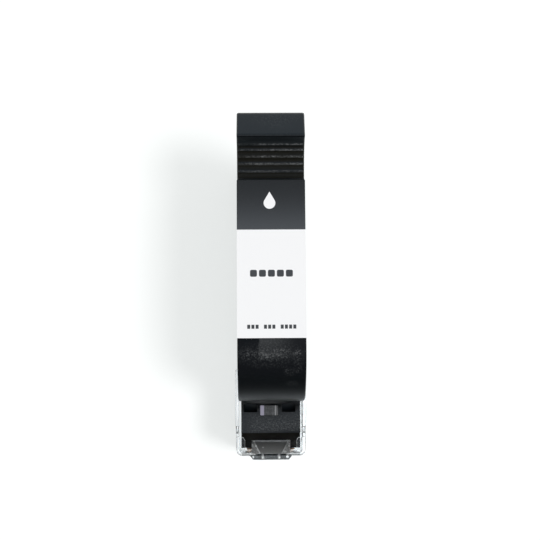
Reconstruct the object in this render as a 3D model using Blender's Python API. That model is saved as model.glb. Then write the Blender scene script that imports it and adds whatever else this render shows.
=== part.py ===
"""Inkjet ink cartridge of the spring-bag kind, lying on its back spine with its protective clip on.

X runs across the narrow spine, Y from the nozzles towards the grip, and Z from the back up to the
labelled front spine. All sizes are in metres. In the outlines Y counts from the nozzle face, and one
empty then moves the cartridge so that its box stands over the origin."""

import math

import bmesh
import bpy
from mathutils import Matrix, Vector

# Body outline, seen from the side
BODY_WIDTH = 0.0204
BODY_LENGTH = 0.0993
SPINE_HEIGHT = 0.0700
BACK_CORNER = 0.0030
HORN_RISE = 0.0034
HORN_SLOPE = 0.0080
HORN_THICKNESS = 0.0110
HORN_SHOULDER = 0.0010
BEAK_REACH = 0.0054
BEAK_DROP = 0.0086
GRIP_DEPTH = 0.0035
GRIP_RADIUS = 0.0098
GRIP_LEAN = math.radians(12.0)
GRIP_LENGTH = 0.0166
BELLY_RADIUS = 0.0165
SHOULDER = 0.0162
SNOUT_DEPTH = 0.0300
SNOUT_WIDTH = 0.0195
SNOUT_FILLET = 0.0035
SNOUT_STEP = 0.0006
TIP_LENGTH = 0.0056
TIP_STEP = 0.0020
EDGE_ROUND = 0.0005
HORN_ROUND = 0.0060
TIP_ROUND = 0.0008

# Grip ribs
RIB_COUNT = 5
RIB_HEIGHT = 0.0006
RIB_WIDTH = 0.0013
RIB_PITCH = math.radians(13.5)
RIB_FIRST = math.radians(6.9)
RIB_INSET = 0.0004

# Walls of the body and of the liner inside it
BACK_WALL = 0.0025
TOP_WALL = 0.0032
SPINE_WALL = 0.0030
GRIP_WALL = 0.0030
FLOOR_WALL = 0.0028
CHAMBER_CORNER = 0.0030
LINER_WALL = 0.0024
LINER_HALF_WIDTH = 0.0074

# Clearances
SEAT_GAP = 0.0003
LABEL_GAP = 0.00015
CLIP_GAP = 0.0003
CUT_PAST = 0.0010

# Side covers
COVER_LAP = 0.0012
COVER_THICKNESS = 0.0005
COVER_EDGE = 0.00015
TAB_WIDTH = 0.0060
TAB_REACH = 0.0008
TAB_THICKNESS = 0.0005

# Label
LABEL_LOW_MARGIN = 0.0020
LABEL_HIGH_MARGIN = 0.0007
LABEL_THICKNESS = 0.00015
LABEL_OVERHANG = 0.00005

# Ink bag, pressure plates and spring
FILM_THICKNESS = 0.0002
FILM_RIM = 0.0022
FILM_RAMP = 0.0060
FILM_BULGE = 0.0007
GUARD_THICKNESS = 0.0002
GUARD_MARGIN = 0.0030
GUARD_BAND = 0.0090
PLATE_END_ROOM = 0.0135
PLATE_SIDE_ROOM = 0.0112
PLATE_CORNER = 0.0060
PLATE_THICKNESS = 0.0004
SPRING_END_ROOM = 0.0030
SPRING_WIDTH = 0.0100
SPRING_THICKNESS = 0.00035
SPRING_FACETS = 48

# Standpipe, filter and fill port
PIPE_WIDTH = 0.0036
PIPE_LENGTH = 0.0120
FILTER_WIDTH = 0.0076
FILTER_LENGTH = 0.0144
FILTER_THICKNESS = 0.0004
PORT_ACROSS = -0.00055
PORT_HEIGHT = 0.01305
PORT_BORE = 0.0030
PLUG_WIDTH = 0.0059
PLUG_HEIGHT = 0.0033
PLUG_HEAD = 0.0020
PLUG_STEM = 0.0062
PLUG_CHAMFER = 0.0002
PORT_SIDE_ROOM = 0.0007
POCKET_WIDTH = 0.0045
POCKET_HEIGHT = 0.0026
POCKET_DEPTH = 0.0024
POCKET_WEB = 0.0006

# Printhead on the end of the snout
HEAD_MIDDLE = 0.0150
NOZZLE_PLATE_WIDTH = 0.0052
NOZZLE_PLATE_LENGTH = 0.0142
NOZZLE_PLATE_THICKNESS = 0.0003
DIE_THICKNESS = 0.0007
DIE_SLOT_WIDTH = 0.0006
DIE_SLOT_LENGTH = 0.0118
BEAD_LENGTH = 0.0014
BEAD_PROUD = 0.0002
BEAD_ROUND = 0.0006

# Flexible circuit
FLEX_WIDTH = 0.0160
FLEX_THICKNESS = 0.0003
FLEX_END = 0.0325
FLEX_FOLD = 0.0024
FLEX_TAIL = 0.0011
CONTACT_ROWS = 13
CONTACT_COLUMNS = 2
CONTACT_WIDTH = 0.0016
CONTACT_LENGTH = 0.0013
CONTACT_PITCH_ALONG = 0.0019
CONTACT_PITCH_ACROSS = 0.0022
CONTACT_AISLE = 0.0046
CONTACT_FIRST = 0.0070
CONTACT_PROUD = 0.0001

# Protective clip
CLIP_WALL = 0.0012
CLIP_SIDE_WALL = 0.0012
CLIP_BACK_WALL = 0.0011
CLIP_FLARE = 0.0005
CLIP_FLARE_HEIGHT = 0.0110
CLIP_ARM_HEIGHT = 0.0266
CLIP_ARM_CORNER = 0.0050
CLIP_ARM_END = 0.0270
CLIP_SILL = 0.0002
CLIP_NOTCH = 0.0120
CLIP_CORNER = 0.0018
CLIP_FLOOR_GAP = 0.0005
CLIP_TONGUE_WIDTH = 0.0160
CLIP_TONGUE_HEIGHT = 0.0340
CLIP_TONGUE_CORNER = 0.0030
FLANGE_HEIGHT = 0.0043
FLANGE_WIDTH = 0.0027
FLANGE_CORNER = 0.0012
CHANNEL_WIDTH = 0.0138
CHANNEL_DROP = 0.0013
CHANNEL_CHAMFER = 0.0010
LIP_WIDTH = 0.0126
LIP_TAPER = 0.60
LIP_HEIGHT = 0.0033
LIP_REACH = 0.0042
LIP_CHEEK = 0.0006
LIP_HOLLOW = 0.0007
LIP_SUNK = 0.0004
LIP_RIB_WIDTH = 0.0007
LIP_RIB_PROUD = 0.0004
LIP_RIB_SPREAD = 0.00265
DIMPLE_RADIUS = 0.0012
DIMPLE_DEPTH = 0.0004
DIMPLE_HEIGHT = 0.0064
DIMPLE_FROM_BACK = 0.0210
SEAL_LENGTH = 0.0136
SEAL_WIDTH = 0.0100
SEAL_ROUND = 0.0003

# Facets: how far a chord may leave its arc, and the tightest radius of a shrunken corner
CHORD_ERROR = 0.00003
TIGHTEST = 0.0002
SMOOTH_ANGLE = math.radians(32.0)

# Places worked out from the sizes
HALF_WIDTH = BODY_WIDTH / 2
HORN_TOP = BODY_LENGTH + HORN_RISE
HORN_FRONT = SPINE_HEIGHT + HORN_SHOULDER
GRIP_FLOOR = SPINE_HEIGHT - GRIP_DEPTH
GRIP_STEP = BODY_LENGTH - GRIP_LENGTH
BEAK_TIP = (HORN_TOP - BEAK_DROP, SPINE_HEIGHT + BEAK_REACH)
GRIP_CORNER = (BEAK_TIP[0] - (BEAK_TIP[1] - GRIP_FLOOR) * math.tan(GRIP_LEAN), GRIP_FLOOR)
GRIP_SWEEP = math.pi / 2 - GRIP_LEAN
GRIP_CENTRE = (GRIP_CORNER[0] - GRIP_RADIUS * math.tan(GRIP_SWEEP / 2), GRIP_FLOOR + GRIP_RADIUS)
CLIP_BOTTOM = -CLIP_FLOOR_GAP - CLIP_WALL
CHANNEL_BOTTOM = CLIP_BOTTOM - CHANNEL_DROP
CONTACT_FACE = CLIP_BACK_WALL + SEAT_GAP + CONTACT_PROUD
SNOUT_BACK = CONTACT_FACE + FLEX_THICKNESS + SEAT_GAP
SNOUT_END = FLEX_THICKNESS + SEAT_GAP
DIE_NEAR = NOZZLE_PLATE_THICKNESS + SEAT_GAP
POCKET_FLOOR = DIE_NEAR + DIE_THICKNESS + SEAT_GAP
WINDOW_HALF_WIDTH = NOZZLE_PLATE_WIDTH / 2 + SEAT_GAP
WINDOW_HALF_LENGTH = NOZZLE_PLATE_LENGTH / 2 + SEAT_GAP + BEAD_LENGTH + SEAT_GAP
BACK_STEP = CLIP_TONGUE_HEIGHT + SEAT_GAP
LABEL_BOTTOM = SHOULDER + BELLY_RADIUS + LABEL_LOW_MARGIN
LABEL_TOP = GRIP_STEP - LABEL_HIGH_MARGIN
CHAMBER_FLOOR = SHOULDER + FLOOR_WALL
CHAMBER_BACK = SNOUT_BACK + BACK_WALL
CHAMBER_TOP = BODY_LENGTH - TOP_WALL
CHAMBER_FRONT = SPINE_HEIGHT - SPINE_WALL
CHAMBER_GRIP = GRIP_FLOOR - GRIP_WALL
CHAMBER_MIDDLE = ((CHAMBER_FLOOR + CHAMBER_TOP) / 2, (CHAMBER_BACK + CHAMBER_FRONT) / 2)
COVER_SEAT = HALF_WIDTH - COVER_THICKNESS - SEAT_GAP
LINER_FLOOR = CHAMBER_FLOOR + SEAT_GAP
FILM_EDGE = LINER_HALF_WIDTH + SEAT_GAP
GUARD_OUTER = FILM_EDGE + FILM_BULGE - SEAT_GAP
PLATE_OUTER = GUARD_OUTER - GUARD_THICKNESS - SEAT_GAP
PLATE_INNER = PLATE_OUTER - PLATE_THICKNESS
CLIP_INNER = HALF_WIDTH + CLIP_GAP
CLIP_OUTER = CLIP_INNER + CLIP_SIDE_WALL
CLIP_LOW_OUTER = CLIP_OUTER - CLIP_FLARE
CLIP_FRONT_INNER = SNOUT_DEPTH + CLIP_GAP
CLIP_FRONT = CLIP_FRONT_INNER + CLIP_WALL
BOX_MIDDLE = (HORN_TOP + CHANNEL_BOTTOM) / 2

# Corners of the outlines, each as (Y, Z, radius), running anticlockwise seen with Y to the right
BODY_CORNERS = (
    (SNOUT_END, SNOUT_BACK, FLEX_FOLD - FLEX_THICKNESS - SEAT_GAP),
    (BACK_STEP, SNOUT_BACK, 0.0),
    (BACK_STEP, 0.0, 0.0),
    (BODY_LENGTH, 0.0, BACK_CORNER),
    (BODY_LENGTH, HORN_FRONT - HORN_THICKNESS - HORN_SLOPE, HORN_ROUND),
    (HORN_TOP, HORN_FRONT - HORN_THICKNESS, HORN_ROUND),
    (HORN_TOP, HORN_FRONT, 2 * TIP_ROUND),
    (BEAK_TIP[0], BEAK_TIP[1], TIP_ROUND),
    (GRIP_CORNER[0], GRIP_CORNER[1], GRIP_RADIUS),
    (GRIP_STEP, GRIP_FLOOR, 0.0),
    (GRIP_STEP, SPINE_HEIGHT, TIP_ROUND),
    (SHOULDER, SPINE_HEIGHT, BELLY_RADIUS),
    (SHOULDER, SNOUT_DEPTH, SNOUT_FILLET),
    (TIP_LENGTH, SNOUT_DEPTH, 0.0),
    (TIP_LENGTH, SNOUT_DEPTH - TIP_STEP, 0.0),
    (SNOUT_END, SNOUT_DEPTH - TIP_STEP, TIP_ROUND),
)
CHAMBER_CORNERS = (
    (CHAMBER_FLOOR, CHAMBER_BACK, CHAMBER_CORNER),
    (CHAMBER_TOP, CHAMBER_BACK, CHAMBER_CORNER),
    (CHAMBER_TOP, CHAMBER_GRIP, 2 * CHAMBER_CORNER),
    (GRIP_STEP + GRIP_WALL / 2, CHAMBER_GRIP, CHAMBER_CORNER),
    (GRIP_STEP - 2 * GRIP_WALL, CHAMBER_FRONT, CHAMBER_CORNER),
    (CHAMBER_FLOOR, CHAMBER_FRONT, BELLY_RADIUS - SPINE_WALL),
)
PLATE_LOW = (CHAMBER_FLOOR + PLATE_END_ROOM, CHAMBER_BACK + PLATE_SIDE_ROOM)
PLATE_HIGH = (CHAMBER_TOP - PLATE_END_ROOM, CHAMBER_FRONT - PLATE_SIDE_ROOM)
PLATE_CORNERS = (
    (PLATE_LOW[0], PLATE_LOW[1], PLATE_CORNER),
    (PLATE_HIGH[0], PLATE_LOW[1], PLATE_CORNER),
    (PLATE_HIGH[0], PLATE_HIGH[1], PLATE_CORNER),
    (PLATE_LOW[0], PLATE_HIGH[1], PLATE_CORNER),
)


def arc_steps(radius, turn):
    """Facets for an arc, from the chord error."""
    facet = 2 * math.acos(1 - min(CHORD_ERROR / radius, 0.5))
    return max(2, math.ceil(abs(turn) / facet))


def outline(corners, grow=0.0):
    """Points of a closed outline with rounded corners, moved outwards by grow."""
    points = []
    for index, (across, up, radius) in enumerate(corners):
        here = Vector((across, up))
        arriving = (here - Vector(corners[index - 1][:2])).normalized()
        leaving = (Vector(corners[(index + 1) % len(corners)][:2]) - here).normalized()
        turn = math.atan2(arriving.cross(leaving), arriving.dot(leaving))
        outward = Vector((arriving.y + leaving.y, -arriving.x - leaving.x))
        corner = here + outward * grow / (1 + arriving.dot(leaving))
        if radius == 0.0:
            points.append(corner)
            continue
        side = math.copysign(1.0, turn)
        bend = max(radius + grow * side, TIGHTEST)
        start = corner - arriving * bend * math.tan(abs(turn) / 2)
        centre = start + Vector((-arriving.y, arriving.x)) * bend * side
        steps = arc_steps(radius, turn)
        for step in range(steps + 1):
            points.append(centre + Matrix.Rotation(turn * step / steps, 2) @ (start - centre))
    return points


def side_ring(points, x):
    """An outline in Y and Z, stood at x."""
    return [(x, point[0], point[1]) for point in points]


def front_ring(points, z):
    """An outline in X and Y, laid at z."""
    return [(point[0], point[1], z) for point in points]


def material(name, colour, roughness, metallic=0.0, alpha=1.0):
    """A plain finish for one sub-part."""
    made = bpy.data.materials.new(name)
    made.use_nodes = True
    surface = made.node_tree.nodes["Principled BSDF"]
    surface.inputs["Base Color"].default_value = (*colour, 1.0)
    surface.inputs["Roughness"].default_value = roughness
    surface.inputs["Metallic"].default_value = metallic
    surface.inputs["Alpha"].default_value = alpha
    made.diffuse_color = (*colour, alpha)
    return made


def place(name, form, parent, finish=None):
    """Turns a bmesh into an object that hangs from an empty and keeps its own place."""
    bmesh.ops.recalc_face_normals(form, faces=form.faces)
    mesh = bpy.data.meshes.new(name)
    form.to_mesh(mesh)
    form.free()
    mesh.shade_smooth()
    mesh.set_sharp_from_angle(angle=SMOOTH_ANGLE)
    if finish:
        mesh.materials.append(finish)
    piece = bpy.data.objects.new(name, mesh)
    piece.parent = parent
    if parent.parent:
        piece.location = -parent.location
    bpy.context.scene.collection.objects.link(piece)
    return piece


def empty(name, location, parent=None):
    """A frame that pieces hang from."""
    made = bpy.data.objects.new(name, None)
    made.location = location
    made.parent = parent
    bpy.context.scene.collection.objects.link(made)
    return made


def loft(rings):
    """A closed skin through rings of equal length, capped at both ends."""
    form = bmesh.new()
    loops = [[form.verts.new(point) for point in ring] for ring in rings]
    form.faces.new(loops[0])
    form.faces.new(loops[-1])
    for near, far in zip(loops, loops[1:]):
        for index in range(len(near)):
            after = (index + 1) % len(near)
            form.faces.new((near[index], near[after], far[after], far[index]))
    return form


def slab(corners, near, far, grow=0.0, edge=0.0, ring=side_ring):
    """An outline pushed from near to far, with its rims rounded by edge."""
    if edge == 0.0:
        return loft([ring(outline(corners, grow), near), ring(outline(corners, grow), far)])
    profile = []
    for turn in (0.0, math.pi / 4, math.pi / 2):
        profile.append((edge * (1 - math.sin(turn)), edge * (1 - math.cos(turn))))
    rings = [ring(outline(corners, grow - shrink), near + along) for shrink, along in profile]
    rings += [ring(outline(corners, grow - shrink), far - along) for shrink, along in reversed(profile)]
    return loft(rings)


def block(x, y, z, edge=0.0):
    """A box between pairs of limits, with its edges chamfered."""
    form = bmesh.new()
    bmesh.ops.create_cube(form, size=1.0)
    size = (x[1] - x[0], y[1] - y[0], z[1] - z[0])
    middle = ((x[0] + x[1]) / 2, (y[0] + y[1]) / 2, (z[0] + z[1]) / 2)
    bmesh.ops.scale(form, vec=size, verts=form.verts)
    bmesh.ops.translate(form, vec=middle, verts=form.verts)
    if edge:
        bmesh.ops.bevel(form, geom=form.edges[:], offset=edge, segments=1, profile=0.5, affect="EDGES")
    return form


def rod(radius, start, end, facets=24):
    """A round bar between two points."""
    form = bmesh.new()
    along = Vector(end) - Vector(start)
    turn = Vector((0.0, 0.0, 1.0)).rotation_difference(along).to_matrix().to_4x4()
    middle = Matrix.Translation((Vector(start) + Vector(end)) / 2)
    bmesh.ops.create_cone(form, cap_ends=True, segments=facets, radius1=radius, radius2=radius,
                          depth=along.length, matrix=middle @ turn)
    return form


def together(forms):
    """One bmesh out of several that don't meet."""
    whole = bmesh.new()
    for form in forms:
        part = bpy.data.meshes.new("loose")
        form.to_mesh(part)
        form.free()
        whole.from_mesh(part)
        bpy.data.meshes.remove(part)
    return whole


def shape(piece, operation, name, form):
    """Cuts a form out of a piece, joins it on, or keeps only what both share."""
    tool = place(name, form, piece.parent)
    tool.hide_render = True
    tool.display_type = "WIRE"
    step = piece.modifiers.new(name, "BOOLEAN")
    step.object = tool
    step.operation = operation
    step.solver = "EXACT"


def grip_ribs():
    """Ridges across the finger scoop, evenly spaced along its arc."""
    ridges = []
    reach = HALF_WIDTH - RIB_INSET
    half = RIB_WIDTH / 2 / GRIP_RADIUS
    for index in range(RIB_COUNT):
        middle = RIB_FIRST + index * RIB_PITCH
        corners = []
        for turn, rise in ((-half, -RIB_HEIGHT), (half, -RIB_HEIGHT), (half, 0.0), (0.0, RIB_HEIGHT),
                           (-half, 0.0)):
            radius = GRIP_RADIUS - rise
            corners.append((GRIP_CENTRE[0] + radius * math.sin(middle + turn),
                            GRIP_CENTRE[1] - radius * math.cos(middle + turn), 0.0))
        ridges.append(slab(corners, -reach, reach))
    return together(ridges)


def snout_openings(body):
    """The snout's narrower sides, the standpipe, its pocket, the fill port and the hollows beside it."""
    sides = []
    for side in (-1, 1):
        x = sorted((side * SNOUT_WIDTH / 2, side * (HALF_WIDTH + CUT_PAST)))
        sides.append(block(x, (-CUT_PAST, SHOULDER + SNOUT_STEP), (-CUT_PAST, SNOUT_DEPTH + SNOUT_FILLET)))
    shape(body, "DIFFERENCE", "cut_snout_sides", together(sides))
    shape(body, "DIFFERENCE", "cut_head_pocket", block(
        (-WINDOW_HALF_WIDTH, WINDOW_HALF_WIDTH), (SNOUT_END - CUT_PAST, POCKET_FLOOR),
        (HEAD_MIDDLE - WINDOW_HALF_LENGTH, HEAD_MIDDLE + WINDOW_HALF_LENGTH)))
    shape(body, "DIFFERENCE", "cut_standpipe", block(
        (-PIPE_WIDTH / 2, PIPE_WIDTH / 2), (POCKET_FLOOR - CUT_PAST / 2, CHAMBER_FLOOR + CUT_PAST),
        (HEAD_MIDDLE - PIPE_LENGTH / 2, HEAD_MIDDLE + PIPE_LENGTH / 2)))
    shape(body, "DIFFERENCE", "cut_fill_port", rod(
        PORT_BORE / 2, (PORT_ACROSS, PORT_HEIGHT, HEAD_MIDDLE),
        (PORT_ACROSS, PORT_HEIGHT, SNOUT_DEPTH + CUT_PAST)))
    seat_left = PORT_ACROSS - PLUG_WIDTH / 2 - SEAT_GAP
    seat_right = PORT_ACROSS + PLUG_WIDTH / 2 + PORT_SIDE_ROOM
    seat = (PORT_HEIGHT - PLUG_HEIGHT / 2 - SEAT_GAP, PORT_HEIGHT + PLUG_HEIGHT / 2 + SEAT_GAP)
    shape(body, "DIFFERENCE", "cut_plug_seat", block(
        (seat_left, seat_right), seat, (SNOUT_DEPTH, SNOUT_DEPTH + PLUG_HEAD + 2 * CUT_PAST)))
    pocket = (seat[1] - POCKET_HEIGHT, seat[1])
    depth = (SNOUT_DEPTH - POCKET_DEPTH, SNOUT_DEPTH + SNOUT_FILLET)
    left = seat_left - POCKET_WEB
    right = seat_right + POCKET_WEB
    shape(body, "DIFFERENCE", "cut_snout_hollows", together([
        block((left - POCKET_WIDTH, left), pocket, depth),
        block((right, right + POCKET_WIDTH), pocket, depth)]))


def pen_body(datum):
    """The moulded body: one ring round the ink chamber, with the grip above and the snout below."""
    plastic = material("black_moulded_plastic", (0.020, 0.021, 0.023), 0.42)
    body = place("pen_body", slab(BODY_CORNERS, -HALF_WIDTH, HALF_WIDTH, edge=EDGE_ROUND), datum, plastic)
    shape(body, "UNION", "add_grip_ribs", grip_ribs())
    past = HALF_WIDTH + CUT_PAST
    shape(body, "DIFFERENCE", "cut_chamber", slab(CHAMBER_CORNERS, -past, past))
    for side in (-1, 1):
        shape(body, "DIFFERENCE", f"cut_cover_seat_{side}",
              slab(CHAMBER_CORNERS, side * COVER_SEAT, side * past, grow=COVER_LAP + SEAT_GAP))
    label_floor = SPINE_HEIGHT - LABEL_THICKNESS - LABEL_GAP
    shape(body, "DIFFERENCE", "cut_label_seat", block(
        (-past, past), (LABEL_BOTTOM - LABEL_GAP, LABEL_TOP + LABEL_GAP),
        (label_floor, SPINE_HEIGHT + CUT_PAST)))
    snout_openings(body)
    return body


def inner_frame(datum):
    """The softer liner ring inside the body, with the filter's window over the standpipe."""
    polymer = material("natural_liner_plastic", (0.62, 0.60, 0.55), 0.50)
    ring = place("inner_frame", slab(CHAMBER_CORNERS, -LINER_HALF_WIDTH, LINER_HALF_WIDTH,
                                     grow=-SEAT_GAP), datum, polymer)
    past = LINER_HALF_WIDTH + CUT_PAST
    shape(ring, "DIFFERENCE", "cut_liner", slab(CHAMBER_CORNERS, -past, past, grow=-SEAT_GAP - LINER_WALL))
    shape(ring, "DIFFERENCE", "cut_liner_mouth", block(
        (-PIPE_WIDTH / 2, PIPE_WIDTH / 2), (LINER_FLOOR - CUT_PAST, LINER_FLOOR + LINER_WALL + CUT_PAST),
        (HEAD_MIDDLE - PIPE_LENGTH / 2, HEAD_MIDDLE + PIPE_LENGTH / 2)))
    width = FILTER_WIDTH / 2 + SEAT_GAP
    length = FILTER_LENGTH / 2 + SEAT_GAP
    shape(ring, "DIFFERENCE", "cut_filter_seat", block(
        (-width, width), (LINER_FLOOR + LINER_WALL / 2, LINER_FLOOR + LINER_WALL + CUT_PAST),
        (HEAD_MIDDLE - length, HEAD_MIDDLE + length)))
    return ring


def filter_screen(datum):
    """The fine steel mesh over the standpipe."""
    steel = material("filter_mesh_steel", (0.50, 0.50, 0.48), 0.55, metallic=1.0)
    low = LINER_FLOOR + LINER_WALL / 2 + SEAT_GAP
    return place("filter_screen", block(
        (-FILTER_WIDTH / 2, FILTER_WIDTH / 2), (low, low + FILTER_THICKNESS),
        (HEAD_MIDDLE - FILTER_LENGTH / 2, HEAD_MIDDLE + FILTER_LENGTH / 2)), datum, steel)


def cover_tabs(side):
    """Folded tabs that press into the chamber's mouth, on the middle of its four straight sides."""
    x = sorted((side * (HALF_WIDTH - COVER_THICKNESS / 2), side * (COVER_SEAT + SEAT_GAP - TAB_REACH)))
    half = TAB_WIDTH / 2
    middle_y, middle_z = CHAMBER_MIDDLE
    low = CHAMBER_FLOOR + SEAT_GAP
    high = CHAMBER_TOP - SEAT_GAP
    back = CHAMBER_BACK + SEAT_GAP
    front = CHAMBER_FRONT - SEAT_GAP
    return together([
        block(x, (low, low + TAB_THICKNESS), (middle_z - half, middle_z + half)),
        block(x, (high - TAB_THICKNESS, high), (middle_z - half, middle_z + half)),
        block(x, (middle_y - half, middle_y + half), (back, back + TAB_THICKNESS)),
        block(x, (middle_y - half, middle_y + half), (front - TAB_THICKNESS, front))])


def side_cover(name, side, datum):
    """One pressed steel cover, flush with the side of the body."""
    steel = material(f"{name}_steel", (0.56, 0.56, 0.55), 0.32, metallic=1.0)
    near, far = sorted((side * (HALF_WIDTH - COVER_THICKNESS), side * HALF_WIDTH))
    cover = place(name, slab(CHAMBER_CORNERS, near, far, grow=COVER_LAP, edge=COVER_EDGE), datum, steel)
    shape(cover, "UNION", f"add_{name}_tabs", cover_tabs(side))
    return cover


def spine_label(datum):
    """The printed label, laid in its shallow seat on the front spine."""
    paper = material("label_white_stock", (0.86, 0.87, 0.86), 0.45)
    reach = HALF_WIDTH + LABEL_OVERHANG
    return place("spine_label", block(
        (-reach, reach), (LABEL_BOTTOM, LABEL_TOP),
        (SPINE_HEIGHT - LABEL_THICKNESS, SPINE_HEIGHT)), datum, paper)


def bag_film(name, side, datum):
    """One wall of the ink bag: flat where it is sealed to the liner, and bulging over the plate."""
    film = material(f"{name}_film", (0.55, 0.56, 0.58), 0.25, metallic=0.6)
    flat = side * FILM_EDGE
    crown = side * (FILM_EDGE + FILM_BULGE)
    skin = side * FILM_THICKNESS
    margins = ((FILM_RIM + FILM_RAMP, crown), (FILM_RIM, flat), (0.0, flat))
    rings = [side_ring(outline(CHAMBER_CORNERS, -SEAT_GAP - margin), x) for margin, x in margins]
    rings += [side_ring(outline(CHAMBER_CORNERS, -SEAT_GAP - margin), x + skin)
              for margin, x in reversed(margins)]
    return place(name, loft(rings), datum, film)


def edge_guard(name, side, carrier):
    """The film frame between a pressure plate's edges and the bag."""
    film = material(f"{name}_film", (0.70, 0.71, 0.72), 0.30)
    near, far = sorted((side * GUARD_OUTER, side * (GUARD_OUTER - GUARD_THICKNESS)))
    guard = place(name, slab(PLATE_CORNERS, near, far, grow=GUARD_MARGIN), carrier, film)
    shape(guard, "DIFFERENCE", f"cut_{name}", slab(
        PLATE_CORNERS, near - CUT_PAST, far + CUT_PAST, grow=GUARD_MARGIN - GUARD_BAND))
    return guard


def spring_plate(name, side, carrier):
    """One steel plate that spreads the spring's push over the bag."""
    steel = material(f"{name}_steel", (0.60, 0.60, 0.60), 0.28, metallic=1.0)
    near, far = sorted((side * PLATE_OUTER, side * PLATE_INNER))
    return place(name, slab(PLATE_CORNERS, near, far), carrier, steel)


def bow_spring(datum):
    """The endless sprung band, bowed between the two plates."""
    steel = material("spring_steel", (0.52, 0.52, 0.53), 0.25, metallic=1.0)
    form = bmesh.new()
    bmesh.ops.create_circle(form, segments=SPRING_FACETS, radius=1.0)
    reach = PLATE_INNER - SEAT_GAP - SPRING_THICKNESS / 2
    length = (PLATE_HIGH[0] - PLATE_LOW[0]) / 2 - SPRING_END_ROOM
    bmesh.ops.scale(form, vec=(reach, length, 1.0), verts=form.verts)
    start = (0.0, CHAMBER_MIDDLE[0], CHAMBER_MIDDLE[1] - SPRING_WIDTH / 2)
    bmesh.ops.translate(form, vec=start, verts=form.verts)
    swept = bmesh.ops.extrude_edge_only(form, edges=form.edges[:])["geom"]
    moved = [item for item in swept if isinstance(item, bmesh.types.BMVert)]
    bmesh.ops.translate(form, vec=(0.0, 0.0, SPRING_WIDTH), verts=moved)
    band = place("bow_spring", form, datum, steel)
    thick = band.modifiers.new("strip thickness", "SOLIDIFY")
    thick.thickness = SPRING_THICKNESS
    thick.offset = 0.0
    return band


def fill_plug(datum):
    """The plug that closes the fill port, with its square head on the front of the snout."""
    plastic = material("grey_plug_plastic", (0.10, 0.10, 0.11), 0.35)
    face = SNOUT_DEPTH + SEAT_GAP
    plug = place("fill_plug", block(
        (PORT_ACROSS - PLUG_WIDTH / 2, PORT_ACROSS + PLUG_WIDTH / 2),
        (PORT_HEIGHT - PLUG_HEIGHT / 2, PORT_HEIGHT + PLUG_HEIGHT / 2),
        (face, face + PLUG_HEAD), edge=PLUG_CHAMFER), datum, plastic)
    shape(plug, "UNION", "add_plug_stem", rod(
        PORT_BORE / 2 - SEAT_GAP, (PORT_ACROSS, PORT_HEIGHT, face - PLUG_STEM),
        (PORT_ACROSS, PORT_HEIGHT, face + PLUG_HEAD / 2)))
    return plug


def printhead(datum):
    """The silicon die, the nozzle plate over it and the resin bead at each end."""
    half_width = NOZZLE_PLATE_WIDTH / 2
    half_length = NOZZLE_PLATE_LENGTH / 2
    across = (-half_width, half_width)
    along = (HEAD_MIDDLE - half_length, HEAD_MIDDLE + half_length)
    silicon = material("die_silicon", (0.12, 0.12, 0.14), 0.15, metallic=0.4)
    die = place("printhead_die", block(across, (DIE_NEAR, DIE_NEAR + DIE_THICKNESS), along), datum, silicon)
    through = (DIE_NEAR - CUT_PAST, DIE_NEAR + DIE_THICKNESS + CUT_PAST)
    shape(die, "DIFFERENCE", "cut_ink_slot", block(
        (-DIE_SLOT_WIDTH / 2, DIE_SLOT_WIDTH / 2), through,
        (HEAD_MIDDLE - DIE_SLOT_LENGTH / 2, HEAD_MIDDLE + DIE_SLOT_LENGTH / 2)))
    gold = material("nozzle_plate_gold", (0.83, 0.62, 0.28), 0.25, metallic=1.0)
    place("nozzle_plate", block(across, (0.0, NOZZLE_PLATE_THICKNESS), along), datum, gold)
    resin = material("bead_resin", (0.05, 0.05, 0.06), 0.25)
    ends = (("encapsulant_bead_front", along[1] + SEAT_GAP),
            ("encapsulant_bead_back", along[0] - SEAT_GAP - BEAD_LENGTH))
    for name, start in ends:
        corners = ((-BEAD_PROUD, start, BEAD_ROUND),
                   (DIE_NEAR + DIE_THICKNESS, start, 0.0),
                   (DIE_NEAR + DIE_THICKNESS, start + BEAD_LENGTH, 0.0),
                   (-BEAD_PROUD, start + BEAD_LENGTH, BEAD_ROUND))
        place(name, slab(corners, *across), datum, resin)


def contact_pads():
    """Two blocks of contact pads on the back stretch of the flexible circuit."""
    pads = []
    for side in (-1, 1):
        for column in range(CONTACT_COLUMNS):
            x = side * (CONTACT_AISLE / 2 + CONTACT_WIDTH / 2 + column * CONTACT_PITCH_ACROSS)
            for row in range(CONTACT_ROWS):
                y = CONTACT_FIRST + row * CONTACT_PITCH_ALONG
                pads.append(block(
                    (x - CONTACT_WIDTH / 2, x + CONTACT_WIDTH / 2),
                    (y - CONTACT_LENGTH / 2, y + CONTACT_LENGTH / 2),
                    (CONTACT_FACE - CONTACT_PROUD, CONTACT_FACE + FLEX_THICKNESS / 2)))
    return together(pads)


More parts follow.
